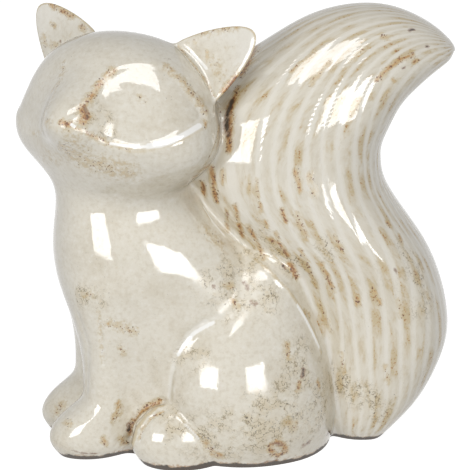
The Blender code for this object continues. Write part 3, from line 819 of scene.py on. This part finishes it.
    def surface(self):
        """Rings round the tail, from the foot to the tip."""
        around, rows = self.grid
        turn = np.arange(around) * 2 * np.pi / around
        even, closing = np.linspace(0, 1, rows), np.sin(np.linspace(0, 0.5 * np.pi, rows))
        t = self.end * (TAIL_EVEN_ROWS * even + (1 - TAIL_EVEN_ROWS) * closing)
        t[-1] = self.end
        (mx, mz, lean, half2, wide2), _ = self.spine(t)
        half, wide = np.sqrt(np.maximum(half2, 0)), np.sqrt(np.maximum(wide2, 0))
        cos, sin = np.cos(turn)[None, :], np.sin(turn)[None, :]
        n = TAIL_FULLNESS
        reach = (np.abs(cos) ** n + np.abs(sin) ** n) ** (-1 / n)
        share = cos * reach
        out = half[:, None] * (TAIL_RIDGE + share * (1 - TAIL_RIDGE * np.sign(share)))
        p = np.stack((mx[:, None] + out * np.cos(lean)[:, None],
                      wide[:, None] * sin * reach,
                      mz[:, None] + out * np.sin(lean)[:, None]), axis=2)
        towards = np.roll(p, -1, axis=1) - np.roll(p, 1, axis=1)
        onwards = np.gradient(p, axis=0)
        outward = np.cross(towards, onwards)
        outward[-1] = (1.0, 0.0, -0.6)
        outward[0, :, 2] = 0
        outward /= np.linalg.norm(outward, axis=2, keepdims=True) + 1e-12
        return p, outward


# Each limb: its stations, crown and offset, and points around, rows and crown rows
LIMBS = {
    "haunch": (HAUNCH, HAUNCH_CROWN, HAUNCH_OFFSET, 280, 90, 20),
    "foreleg": (FORELEG, FORELEG_CROWN, FORELEG_OFFSET, 130, 130, 16),
    "hind_paw": (HIND_PAW, HIND_PAW_CROWN, HIND_PAW_OFFSET, 180, 44, 16),
}
FORMS = {"torso_shell": Standing(TORSO, TORSO_CROWN, 0.0, 300, 170, 18, TORSO_FULLNESS,
                                 TORSO_RIDGE)}
for limb, (stations, crown, offset, *grid) in LIMBS.items():
    for side, sign in SIDES.items():
        FORMS[side + "_" + limb] = Standing(stations, crown, sign * offset, *grid)
FORMS["tail_shell"] = Tail()
FORMS["head_shell"] = Head()
for side, sign in SIDES.items():
    FORMS[side + "_ear"] = Ear(-sign)
NAMES = list(FORMS)

# How widely the corners between the forms are filled. Behind REAR the haunch runs up into
# the flank, and before THROAT the chest runs up into the jaw: from and to in X
HAUNCH_FILLET = 0.004
HAUNCH_FILLET_REAR = 0.018
REAR = (-0.006, 0.021)
FORELEG_FILLET = 0.011
HIND_PAW_FILLET = 0.0016
TAIL_FILLET = 0.004
EAR_FILLET = 0.003
NECK_FILLET = 0.0025
NECK_FILLET_THROAT = 0.0105
THROAT = (-0.006, -0.026)

AWAY = 0.08
BLOCK = 6000
WORKERS = ThreadPoolExecutor()


def all_distances(p):
    """Distance of each point from each form, one row a form; far forms count as away."""
    found = np.full((len(FORMS), len(p)), AWAY)
    for row, form in zip(found, FORMS.values()):
        near = ((p > form.low) & (p < form.high)).all(axis=1)
        if near.any():
            row[near] = form.distance(p[near])
    return found


def skin_distance(p):
    """The fused distance of each point, worked out for a few blocks of points at once."""
    blocks = np.array_split(p, 1 + len(p) // BLOCK)
    return np.concatenate(list(WORKERS.map(lambda b: fused(all_distances(b), b), blocks)))


def melt(one, other, radius):
    """The lesser of two distances, with the corner between them filled over the radius."""
    overlap = np.clip(1 - np.abs(one - other) / radius, 0, None)
    return np.minimum(one, other) - radius * overlap ** 3 / 6


def fused(found, p):
    """The distance from the whole fox: forms melted together in the order they are luted,
    with the lines that are drawn into the clay or raised on it."""
    at = dict(zip(NAMES, found))
    rear = smoothstep(*REAR, p[:, 0])
    fillets = {"haunch": HAUNCH_FILLET + HAUNCH_FILLET_REAR * rear,
               "foreleg": FORELEG_FILLET, "hind_paw": HIND_PAW_FILLET}
    body = at["torso_shell"]
    for limb, fillet in fillets.items():
        for side in SIDES:
            body = melt(body, at[side + "_" + limb], fillet)
    body = melt(body, at["tail_shell"], TAIL_FILLET)
    head = at["head_shell"]
    for side in SIDES:
        head = melt(head, at[side + "_ear"], EAR_FILLET)
    throat = smoothstep(*THROAT, p[:, 0])
    whole = melt(body, head, NECK_FILLET + NECK_FILLET_THROAT * throat)
    for depth, line in DRAWN:
        whole = whole + depth * line.nearness(p)
    return whole


LINE_REACH = 2.5


class Line:
    """A chain of straight pieces between points, as wide as its bell-shaped nearness."""

    def __init__(self, points, width):
        self.points, self.width, self.reach = points, width, LINE_REACH * width
        self.low, self.high = points.min(axis=0) - self.reach, points.max(axis=0) + self.reach

    def nearness(self, p):
        """exp(-(d / width)^2) of the distance d from the chain, 0 beyond its reach."""
        found = np.zeros(len(p))
        near = ((p > self.low) & (p < self.high)).all(axis=1)
        if near.any():
            close = p[near]
            least = np.full(len(close), self.reach ** 2)
            for start, along in zip(self.points[:-1], np.diff(self.points, axis=0)):
                share = np.clip((close - start) @ along / (along @ along + 1e-12), 0, 1)
                away = close - start - share[:, None] * along
                least = np.minimum(least, (away ** 2).sum(axis=1))
            found[near] = np.exp(-least / self.width ** 2) - np.exp(-LINE_REACH ** 2)
        return found


LINE_STEP = 7.0
MARCH_START = 0.12
MARCH_STEPS = 70
MARCH_SHARE = 0.8


def seen_at(pixels):
    """Points of the skin that lie behind pixels of the photograph, every few pixels along
    the chain that they make: the camera's rays, marched by the fused distance."""
    pixels = np.array(pixels, float)
    chain = [pixels[:1]]
    for one, two in zip(pixels[:-1], pixels[1:]):
        count = int(np.ceil(np.hypot(*(two - one)) / LINE_STEP))
        chain.append(one + (two - one) * np.arange(1, count + 1)[:, None] / max(count, 1))
    chain = np.vstack(chain)
    right, up, back = camera_axes()
    offset = (chain + 0.5 - 0.5 * PHOTO_SIZE) * FRAME_WIDTH / PHOTO_SIZE
    ray = offset[:, :1] * right - offset[:, 1:] * up - CAMERA_DISTANCE * back
    ray /= np.linalg.norm(ray, axis=1, keepdims=True)
    p = np.array(CAMERA_TARGET) + CAMERA_DISTANCE * back
    p = p + ray * (CAMERA_DISTANCE - MARCH_START)
    for _ in range(MARCH_STEPS):
        p = p + ray * np.clip(MARCH_SHARE * skin_distance(p), -0.01, 0.02)[:, None]
    return p


HEAD_FORMS = ("head_shell", "left_ear", "right_ear")


def other_side(points):
    """The same points on the fox's other side: across the head's middle where they lie on
    the head or an ear, and otherwise across the body's."""
    nearest = NAMES[np.argmin(all_distances(points[:1])[:, 0])]
    if nearest in HEAD_FORMS:
        return from_head(in_head(points) * (-1, 1, 1))
    return points * (1, -1, 1)


def both_sides(pixels, width):
    """A line through pixels of the photograph, and its mirror image."""
    points = seen_at(pixels)
    return [Line(points, width * MM), Line(other_side(points), width * MM)]


DRAWN = []


def draw_lines():
    """Draw the lines of DRAWN_LINES on both sides of the fox."""
    lines = [(depth * MM, line) for depth, width, pixels in DRAWN_LINES
             for line in both_sides(pixels, width)]
    DRAWN.extend(lines)


SETTLE_STEPS = 9
SETTLE_SHARE = 0.9
SETTLE_RANGE = (-0.003, 0.006)
SINK_SHARE = 0.12
SINK_FULL = 0.006


def settle(index, start, outward):
    """Move each start point along its outward direction until it lies on the fused skin.
    Past the seam, where another form is nearer, it sinks below that skin by a growing
    share of how much nearer the other is, so that its neighbour hides it."""
    def settled(block):
        reach = np.zeros(len(block))
        for _ in range(SETTLE_STEPS):
            p = start[block] + outward[block] * reach[:, None]
            found = all_distances(p)
            others = np.delete(found, index, axis=0).min(axis=0)
            behind = np.maximum(found[index] - others, 0)
            sink = behind * (SINK_SHARE + (1 - SINK_SHARE) * smoothstep(0, SINK_FULL, behind))
            reach = np.clip(reach - SETTLE_SHARE * (fused(found, p) + sink), *SETTLE_RANGE)
        return start[block] + outward[block] * reach[:, None]

    blocks = np.array_split(np.arange(len(start)), 1 + len(start) // BLOCK)
    return np.vstack(list(WORKERS.map(settled, blocks)))


NORMAL_STEP = 0.00012
BEND_STEP = 0.8 * MM


def skin_normals(p):
    """The fused distance's gradient, by central differences."""
    slope = np.empty_like(p)
    for axis in range(3):
        shift = np.zeros(3)
        shift[axis] = NORMAL_STEP
        ahead, behind = p + shift, p - shift
        slope[:, axis] = skin_distance(ahead) - skin_distance(behind)
    return slope / (np.linalg.norm(slope, axis=1, keepdims=True) + 1e-12)


def skin_bend(p):
    """Sum of the two curvatures, from the distances a step away to six sides, less the
    distance here: above 0 on a ridge, below 0 in a hollow."""
    here = skin_distance(p)
    total = np.zeros(len(p))
    for axis in range(3):
        for sign in (-1, 1):
            shift = np.zeros(3)
            shift[axis] = sign * BEND_STEP
            total += skin_distance(p + shift) - here
    return total / BEND_STEP ** 2


def close_grid(points):
    """Vertices and faces of a grid that wraps round: quads between rows, and a fan to a
    single point at each end, whose row is a pole."""
    rings = points[1:-1]
    count, around = rings.shape[:2]
    index = np.arange(count * around).reshape(count, around)
    after = np.roll(index, -1, axis=1)
    quads = np.stack((index[:-1], after[:-1], after[1:], index[1:]), axis=2).reshape(-1, 4)
    first = np.column_stack((after[0], index[0], np.full(around, count * around)))
    last = np.column_stack((index[-1], after[-1], np.full(around, count * around + 1)))
    vertices = np.vstack((rings.reshape(-1, 3), points[0, :1], points[-1, :1]))
    return vertices, quads, np.vstack((first, last))


def facing_out(vertices, quads, fans):
    """The same faces, turned over where the volume that they close comes out below 0."""
    triangles = np.vstack((quads[:, (0, 1, 2)], quads[:, (0, 2, 3)], fans))
    a, b, c = (vertices[triangles[:, i]] for i in range(3))
    if np.einsum("ij,ij->", a, np.cross(b, c)) < 0:
        return quads[:, ::-1], fans[:, ::-1]
    return quads, fans


def mesh_piece(name, vertices, quads, fans):
    """A smooth mesh object at the origin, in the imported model's frame."""
    mesh = bpy.data.meshes.new(name)
    mesh.from_pydata(vertices + SHIFT, [], [*map(tuple, quads.tolist()),
                                            *map(tuple, fans.tolist())])
    mesh.shade_smooth()
    made = bpy.data.objects.new(name, mesh)
    bpy.context.scene.collection.objects.link(made)
    return made


BASE_SHARES = (0.0, 0.3, 0.6, 0.85, 0.96)
VENT_BASE_SHARES = (0.0, 0.25, 0.6, 0.9)


def base_rows(rim, vent):
    """Rows that close the foot on the ground: the rim drawn in to the middle, or, on the
    torso, to the round vent hole and up its wall."""
    middle = rim.mean(axis=0)
    if not vent:
        shares = np.array(BASE_SHARES)[:, None, None]
        return middle + (rim - middle) * shares
    bearing = np.arctan2(rim[:, 1], rim[:, 0])
    hole = VENT_RADIUS * np.column_stack((np.cos(bearing), np.sin(bearing), 0 * bearing))
    top = hole + (0.0, 0.0, VENT_DEPTH)
    shares = np.array(VENT_BASE_SHARES)[:, None, None]
    return np.concatenate((top[None] * (0, 0, 1), 0.5 * top[None] * (1, 1, 2), top[None],
                           hole + (rim - hole) * shares))


def make_form(name):
    """One settled piece with its normals and the values that its glaze reads."""
    form = FORMS[name]
    start, outward = form.surface()
    rows, around = start.shape[:2]
    skin = settle(NAMES.index(name), start.reshape(-1, 3), outward.reshape(-1, 3))
    skin = skin.reshape(rows, around, 3)
    stands = start[0, 0, 2] < 1e-6
    if stands:
        skin[..., 2] = np.maximum(skin[..., 2], 0)
        skin[0, :, 2] = 0
        base = base_rows(skin[0], name == "torso_shell")
        points = np.concatenate((base, skin))
    else:
        points = skin
    points[-1] = points[-1].mean(axis=0)
    points[0] = points[0].mean(axis=0)
    vertices, quads, fans = close_grid(points)
    quads, fans = facing_out(vertices, quads, fans)
    piece = mesh_piece(name.replace("_shell", "") + "_glazed", vertices, quads, fans)
    normals = skin_normals(vertices)
    if stands:
        normals[:(len(base) - 1) * around] = (0.0, 0.0, -1.0)
    piece.data.normals_split_custom_set_from_vertices(normals)
    store(piece, "bend", skin_bend(vertices) * MM)
    comb, flow = streaks(name, vertices)
    store(piece, "comb", comb)
    piece.data.attributes.new("flow", "FLOAT_VECTOR", "POINT").data.foreach_set(
        "vector", flow.astype(np.float32).ravel())
    for kind, lines in STAIN_LINES.items():
        store(piece, kind, stain(vertices, lines))
    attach(piece, "root")
    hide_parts(name)
    return piece


def store(piece, name, values):
    """Keep one number per vertex as an attribute."""
    held = piece.data.attributes.new(name, "FLOAT", "POINT")
    held.data.foreach_set("value", np.asarray(values, np.float32))


TEXTURE_RADIUS = 0.028
FLOW = 0.40


def streaks(name, p):
    """How far each point lies in a combed valley (1) or on a rib (0), and -1 off the tail;
    and the place that the glaze's texture is read at, which on the tail is drawn out
    lengthwise: (radius cos angle, radius sin angle, part of the place along it)."""
    if name != "tail_shell":
        return np.full(len(p), -1.0), p
    tail = FORMS[name]
    place, half, _, u, v, *_ = tail.section(p)
    angle = np.arctan2(v, u)
    radius = TEXTURE_RADIUS * (0.4 + 0.6 * np.minimum(1, half / COMB_FADE))
    flow = np.column_stack((radius * np.cos(angle), radius * np.sin(angle), FLOW * place))
    return 0.5 + 0.5 * tail.wave(angle, place), flow


FAR_STAINS = 0.5
STAIN_SPREAD = {"brown": 1.5, "dark": 1.15, "painted_highlight": 1.0, "curl": 1.3}
STAIN_LINES = {kind: [] for kind in STAIN_SPREAD}


def find_stains():
    """Place the stains of STAINS: in full on the side that the photograph shows, and their
    mirror images, all but the painted highlights, more weakly on the other."""
    for kind, strength, width, pixels in STAINS:
        seen, mirrored = both_sides(pixels, STAIN_SPREAD[kind] * width)
        STAIN_LINES[kind].append((strength, seen))
        if kind != "painted_highlight":
            STAIN_LINES[kind].append((FAR_STAINS * strength, mirrored))


def stain(p, lines):
    """The strongest of the lines at each point."""
    found = np.zeros(len(p))
    for strength, line in lines:
        found = np.maximum(found, strength * line.nearness(p))
    return found


SLOTS = {part["node"]: part["material_slot"] for part in frame["record"]["subparts"]}


def paint(red, green, blue):
    """A colour on the screen's scale of 0 to 255 as the linear values of a shader."""
    share = np.array((red, green, blue)) / 255
    linear = np.where(share <= 0.04045, share / 12.92, ((share + 0.055) / 1.055) ** 2.4)
    return (*linear, 1.0)


CREAM = paint(225, 219, 204)
SHADE = paint(200, 189, 166)
WHITE = paint(237, 234, 226)
TAN = paint(191, 167, 114)
OLIVE = paint(120, 103, 62)
AMBER = paint(176, 122, 40)
RUST = paint(124, 68, 14)
UMBER = paint(36, 27, 18)
# Darker tone of the painted shade towards the silhouette
GRAZING_SHADE = paint(157, 146, 120)
# Near-white of the painted highlights
HIGHLIGHT_WHITE = paint(250, 249, 245)


def add(tree, kind, inputs=None, **settings):
    """A node with its settings and with values or links for its inputs."""
    made = tree.nodes.new(kind)
    for key, value in settings.items():
        setattr(made, key, value)
    for key, value in (inputs or {}).items():
        if isinstance(value, bpy.types.NodeSocket):
            tree.links.new(value, made.inputs[key])
        else:
            made.inputs[key].default_value = value
    return made


def noise(tree, vector, scale, detail=3.0, roughness=0.55):
    """A cloud texture's value."""
    made = add(tree, "ShaderNodeTexNoise", {"Vector": vector, "Scale": scale,
                                            "Detail": detail, "Roughness": roughness})
    return made.outputs[0]


def ramp(tree, value, low, high):
    """A value eased from 0 at low to 1 at high."""
    made = add(tree, "ShaderNodeMapRange", {"Value": value, "From Min": low,
                                            "From Max": high},
               interpolation_type="SMOOTHSTEP")
    return made.outputs["Result"]


def maths(tree, operation, one, other=0.0):
    """One step of arithmetic."""
    made = add(tree, "ShaderNodeMath", {0: one, 1: other}, operation=operation)
    return made.outputs[0]


def times(tree, one, other):
    """The product of two values."""
    return maths(tree, "MULTIPLY", one, other)


def lay(tree, color, share, over):
    """The colour with a share of another laid over it."""
    made = add(tree, "ShaderNodeMix", {"Factor": share, 6: color, 7: over}, data_type="RGBA")
    return made.outputs[2]


MASKS = ("bend", "comb", "brown", "dark", "painted_highlight", "curl")
GLOSSY = 0.06
DULL = 0.6
GLAZE_IOR = 1.6
GLAZE_SPECULAR = 0.8
WAVY_STRENGTH = 0.25
WAVY_DEPTH = 0.0002
# Share of painted shade where the surface is seen at a grazing angle
GRAZING_SHADE_SHARE = 0.5


def glaze_group():
    """Reactive stoneware glaze: cream with a fine grain, tan between the combed lines, whiter
    where it pools, brown, rust and curling fine lines where the stains are, and painted
    highlights in near-white. It puts out a colour, a roughness, a height, and a mask that
    is 0 on the bare clay of the foot."""
    tree = bpy.data.node_groups.new("reactive_glaze", "ShaderNodeTree")
    face = tree.interface
    for name in MASKS:
        face.new_socket(name.title(), in_out="INPUT", socket_type="NodeSocketFloat")
    for name in ("Place", "Flow"):
        face.new_socket(name, in_out="INPUT", socket_type="NodeSocketVector")
    face.new_socket("Color", in_out="OUTPUT", socket_type="NodeSocketColor")
    for name in ("Roughness", "Height", "Glazed"):
        face.new_socket(name, in_out="OUTPUT", socket_type="NodeSocketFloat")
    given = add(tree, "NodeGroupInput")
    place, flow = given.outputs["Place"], given.outputs["Flow"]
    bend, comb, brown, dark, painted_highlight, curl = (given.outputs[name.title()] for name in MASKS)
    clouds = noise(tree, flow, 60.0, 4.0)
    patches = noise(tree, flow, 240.0, 4.0, 0.6)
    mottle = noise(tree, flow, 620.0, 3.0, 0.6)
    grain = noise(tree, flow, 1000.0, 4.0, 0.7)
    specks = noise(tree, place, 1250.0, 2.0, 0.6)
    wander = noise(tree, place, 460.0, 2.0, 0.55)
    height = add(tree, "ShaderNodeSeparateXYZ", {0: place}).outputs[2]
    low = ramp(tree, height, 0.062, 0.012)

    # The cream and its grain
    color = lay(tree, CREAM, times(tree, ramp(tree, clouds, 0.42, 0.72), 0.45), SHADE)
    color = lay(tree, color, times(tree, ramp(tree, mottle, 0.46, 0.72), 0.42), SHADE)
    color = lay(tree, color, times(tree, ramp(tree, mottle, 0.46, 0.28), 0.35), WHITE)
    color = lay(tree, color, times(tree, ramp(tree, grain, 0.56, 0.76), 0.30), TAN)
    pooled = times(tree, ramp(tree, times(tree, bend, -1.0), 0.15, 0.8), 0.5)
    color = lay(tree, color, pooled, WHITE)

    # Between the combed lines, and on their crests
    on_tail = maths(tree, "GREATER_THAN", comb, -0.5)
    rib = times(tree, ramp(tree, comb, 0.72, 0.25), on_tail)
    color = lay(tree, color, times(tree, rib, 0.22), SHADE)
    tan = times(tree, rib, ramp(tree, patches, 0.44, 0.66))
    color = lay(tree, color, times(tree, tan, 0.70), TAN)
    crest = times(tree, ramp(tree, comb, 0.72, 0.98), ramp(tree, mottle, 0.25, 0.6))
    color = lay(tree, color, times(tree, crest, 0.45), WHITE)
    freckles = times(tree, rib, times(tree, ramp(tree, patches, 0.52, 0.66),
                                      ramp(tree, specks, 0.54, 0.64)))
    color = lay(tree, color, times(tree, freckles, 0.85), AMBER)
    rusted = times(tree, rib, times(tree, ramp(tree, patches, 0.57, 0.67),
                                    ramp(tree, specks, 0.62, 0.69)))
    color = lay(tree, color, times(tree, rusted, 0.9), RUST)

    # Where the glaze runs thin over an edge
    thin = maths(tree, "ADD", bend, maths(tree, "SUBTRACT", patches, 0.5))
    edge = times(tree, ramp(tree, thin, 0.30, 0.9), maths(tree, "SUBTRACT", 1.0, on_tail))
    color = lay(tree, color, times(tree, edge, 0.55), TAN)

    # Curling fine lines and freckles where the glaze breaks
    active = maths(tree, "ADD", times(tree, curl, 0.55), times(tree, clouds, 0.55))
    active = maths(tree, "ADD", active, times(tree, low, 0.06))
    broken = times(tree, ramp(tree, active, 0.28, 0.62), ramp(tree, patches, 0.40, 0.62))
    color = lay(tree, color, times(tree, broken, 0.28), TAN)
    line = maths(tree, "ABSOLUTE", maths(tree, "SUBTRACT", wander, 0.5))
    line = times(tree, ramp(tree, line, 0.045, 0.0), broken)
    color = lay(tree, color, times(tree, line, 0.75), OLIVE)
    freckle = times(tree, broken, ramp(tree, maths(tree, "ADD", specks, times(tree, curl, 0.05)),
                                       0.65, 0.72))
    color = lay(tree, color, times(tree, freckle, 0.85), UMBER)
    lone = times(tree, ramp(tree, specks, 0.735, 0.78), ramp(tree, clouds, 0.40, 0.55))
    color = lay(tree, color, times(tree, lone, 0.7), UMBER)

    # Brown and dark stains with ragged edges, and the painted highlights in near-white
    ragged = maths(tree, "ADD", times(tree, maths(tree, "SUBTRACT", mottle, 0.5), 1.3),
                   maths(tree, "SUBTRACT", grain, 0.5))
    near_brown = ramp(tree, brown, 0.02, 0.22)
    haze = times(tree, ramp(tree, maths(tree, "ADD", brown, ragged), 0.05, 0.70), near_brown)
    color = lay(tree, color, times(tree, haze, 0.62), TAN)
    amber = ramp(tree, maths(tree, "ADD", brown, ragged), 0.50, 1.05)
    color = lay(tree, color, times(tree, times(tree, amber, near_brown), 0.82), AMBER)
    rusty = ramp(tree, maths(tree, "ADD", specks, times(tree, brown, 0.16)), 0.65, 0.73)
    color = lay(tree, color, times(tree, times(tree, rusty, ramp(tree, brown, 0.2, 0.5)), 0.9),
                RUST)
    dots = ramp(tree, maths(tree, "ADD", specks, times(tree, brown, 0.10)), 0.71, 0.75)
    color = lay(tree, color, times(tree, times(tree, dots, ramp(tree, brown, 0.1, 0.3)), 0.85),
                UMBER)
    near_dark = ramp(tree, dark, 0.02, 0.3)
    halo = ramp(tree, maths(tree, "ADD", dark, ragged), 0.10, 0.60)
    color = lay(tree, color, times(tree, times(tree, halo, near_dark), 0.55), RUST)
    core = ramp(tree, maths(tree, "ADD", dark, ragged), 0.55, 0.95)
    color = lay(tree, color, times(tree, times(tree, core, near_dark), 0.9), UMBER)
    # Painted highlights: near-white where the highlight lines lie
    color = lay(tree, color, times(tree, ramp(tree, painted_highlight, 0.1, 0.6), 0.95), HIGHLIGHT_WHITE)

    # The foot: amber above, then bare clay
    above = maths(tree, "SUBTRACT", height, times(tree, mottle, 0.0044))
    color = lay(tree, color, times(tree, ramp(tree, above, 0.0004, -0.0010), 0.6), AMBER)
    bare = ramp(tree, maths(tree, "SUBTRACT", height, times(tree, patches, 0.0036)),
                0.0003, -0.0003)
    color = lay(tree, color, times(tree, bare, 0.95), UMBER)
    dull = maths(tree, "MAXIMUM", bare, times(tree, haze, 0.45))
    dull = maths(tree, "MAXIMUM", dull, times(tree, curl, 0.45))
    rough = add(tree, "ShaderNodeMapRange", {"Value": dull, "To Min": GLOSSY,
                                             "To Max": DULL})

    result = add(tree, "NodeGroupOutput")
    tree.links.new(color, result.inputs["Color"])
    tree.links.new(rough.outputs[0], result.inputs["Roughness"])
    tree.links.new(patches, result.inputs["Height"])
    tree.links.new(maths(tree, "SUBTRACT", 1.0, bare), result.inputs["Glazed"])
    return tree


GLAZE = glaze_group()


def glaze(slot):
    """The Principled material of one of the record's glazes."""
    material = bpy.data.materials.new(slot)
    material.use_nodes = True
    tree = material.node_tree
    shader = tree.nodes["Principled BSDF"]
    coat = add(tree, "ShaderNodeGroup", node_tree=GLAZE)
    place = add(tree, "ShaderNodeTexCoord").outputs["Object"]
    tree.links.new(place, coat.inputs["Place"])
    for attribute in MASKS:
        read = add(tree, "ShaderNodeAttribute", attribute_name=attribute)
        tree.links.new(read.outputs["Fac"], coat.inputs[attribute.title()])
    flow = add(tree, "ShaderNodeAttribute", attribute_name="flow")
    tree.links.new(flow.outputs["Vector"], coat.inputs["Flow"])
    wavy = add(tree, "ShaderNodeBump", {"Strength": WAVY_STRENGTH, "Distance": WAVY_DEPTH,
                                        "Height": coat.outputs["Height"]})
    tree.links.new(wavy.outputs["Normal"], shader.inputs["Normal"])
    # Painted shade: darker towards the silhouette, where the surface is seen at a grazing angle
    facing = add(tree, "ShaderNodeLayerWeight", {"Blend": 0.5}).outputs["Facing"]
    rim = times(tree, ramp(tree, facing, 0.55, 1.0), coat.outputs["Glazed"])
    color = lay(tree, coat.outputs["Color"], times(tree, rim, GRAZING_SHADE_SHARE), GRAZING_SHADE)
    tree.links.new(color, shader.inputs["Base Color"])
    tree.links.new(coat.outputs["Roughness"], shader.inputs["Roughness"])
    shader.inputs["IOR"].default_value = GLAZE_IOR
    shader.inputs["Specular IOR Level"].default_value = GLAZE_SPECULAR
    return material


def add_camera():
    """The camera at the photograph's angle, framed as the photograph is."""
    right, up, back = camera_axes()
    data = bpy.data.cameras.new("camera")
    data.sensor_width = SENSOR
    data.lens = SENSOR * CAMERA_DISTANCE / FRAME_WIDTH
    data.clip_start, data.clip_end = 0.01, 20.0
    made = bpy.data.objects.new("camera", data)
    bpy.context.scene.collection.objects.link(made)
    axes = Matrix(np.column_stack((right, up, back)).tolist()).to_4x4()
    place = Vector(CAMERA_TARGET + SHIFT) + Vector(back) * CAMERA_DISTANCE
    made.matrix_world = Matrix.Translation(place) @ axes
    bpy.context.scene.camera = made


LAMP_DISTANCE = 3.0
LAMP_HEIGHT = 0.07
# Softboxes: azimuth from the front (left is below 0), elevation, width and height as seen
# from the fox, all in degrees, radiance, and whether the glaze mirrors it
SOFTBOXES = {
    "left_softbox": (-43.0, 9.0, 23.0, 22.0, 5.6, True),
    "right_softbox": (14.0, 9.0, 22.0, 23.0, 6.0, True),
    "top_softbox": (-10.0, 56.0, 32.0, 22.0, 4.2, True),
    "side_fill": (-78.0, 18.0, 55.0, 55.0, 0.45, False),
}


def add_softbox(name, azimuth, elevation, wide, high, radiance, mirrored):
    """A rectangular softbox that looks at the fox from a direction."""
    azimuth, elevation, wide, high = np.radians((azimuth, elevation, wide, high))
    data = bpy.data.lights.new(name, "AREA")
    data.shape = "RECTANGLE"
    data.size = 2 * LAMP_DISTANCE * np.tan(0.5 * wide)
    data.size_y = 2 * LAMP_DISTANCE * np.tan(0.5 * high)
    data.energy = radiance * np.pi * data.size * data.size_y
    made = bpy.data.objects.new(name, data)
    bpy.context.scene.collection.objects.link(made)
    towards = Vector((np.sin(azimuth) * np.cos(elevation), -np.cos(azimuth) * np.cos(elevation),
                      np.sin(elevation)))
    made.location = Vector((0, 0, LAMP_HEIGHT)) + towards * LAMP_DISTANCE
    made.rotation_euler = towards.to_track_quat("Z", "Y").to_euler()
    made.visible_camera = False
    made.visible_glossy = mirrored


WORLD_LIGHT = 0.13
FLOOR_HALF = 0.8
FLOOR_GLOW = 0.95
FLOOR_SHADED = 0.32
FLOOR_WHITE = 0.6


def add_world():
    """An even surround: white to the camera and in reflections, dimmer as light."""
    world = bpy.data.worlds.new("surround")
    bpy.context.scene.world = world
    world.use_nodes = True
    tree = world.node_tree
    tree.nodes.clear()
    path = add(tree, "ShaderNodeLightPath")
    seen = maths(tree, "MAXIMUM", path.outputs["Is Camera Ray"],
                 maths(tree, "MAXIMUM", path.outputs["Is Glossy Ray"],
                       path.outputs["Is Transmission Ray"]))
    strength = add(tree, "ShaderNodeMapRange", {"Value": seen, "To Min": WORLD_LIGHT,
                                                "To Max": 1.0})
    light = add(tree, "ShaderNodeBackground", {"Color": (1.0, 1.0, 1.0, 1.0),
                                               "Strength": strength.outputs[0]})
    result = add(tree, "ShaderNodeOutputWorld")
    tree.links.new(light.outputs[0], result.inputs["Surface"])


def add_floor():
    """A plain white floor that glows to the camera and still keeps the fox's shadow."""
    corners = [(x * FLOOR_HALF, y * FLOOR_HALF, 0) for x, y in ((-1, -1), (1, -1), (1, 1),
                                                                (-1, 1))]
    mesh = bpy.data.meshes.new("floor")
    mesh.from_pydata(corners, [], [(0, 1, 2, 3)])
    floor = bpy.data.objects.new("floor", mesh)
    bpy.context.scene.collection.objects.link(floor)
    material = bpy.data.materials.new("white_floor")
    material.use_nodes = True
    tree = material.node_tree
    tree.nodes.clear()
    path = add(tree, "ShaderNodeLightPath")
    seen = maths(tree, "MAXIMUM", path.outputs["Is Camera Ray"], path.outputs["Is Glossy Ray"])
    matt = add(tree, "ShaderNodeBsdfDiffuse", {"Color": (*3 * (FLOOR_WHITE,), 1.0)})
    shaded = add(tree, "ShaderNodeBsdfDiffuse", {"Color": (*3 * (FLOOR_SHADED,), 1.0)})
    glow = add(tree, "ShaderNodeEmission", {"Color": (1.0, 1.0, 1.0, 1.0),
                                            "Strength": FLOOR_GLOW})
    bright = add(tree, "ShaderNodeAddShader", {0: shaded.outputs[0], 1: glow.outputs[0]})
    both = add(tree, "ShaderNodeMixShader", {0: seen, 1: matt.outputs[0],
                                             2: bright.outputs[0]})
    result = add(tree, "ShaderNodeOutputMaterial")
    tree.links.new(both.outputs[0], result.inputs["Surface"])
    mesh.materials.append(material)


def build():
    """All the pieces with their glazes, then the stage."""
    draw_lines()
    find_stains()
    glazes = {slot: glaze(slot) for slot in sorted(set(SLOTS.values()))}
    for name in FORMS:
        made = make_form(name)
        made.data.materials.append(glazes[SLOTS[name]])
    add_camera()
    add_world()
    add_floor()
    for name, softbox in SOFTBOXES.items():
        add_softbox(name, *softbox)


build()
bpy.context.scene.view_settings.view_transform = "Standard"
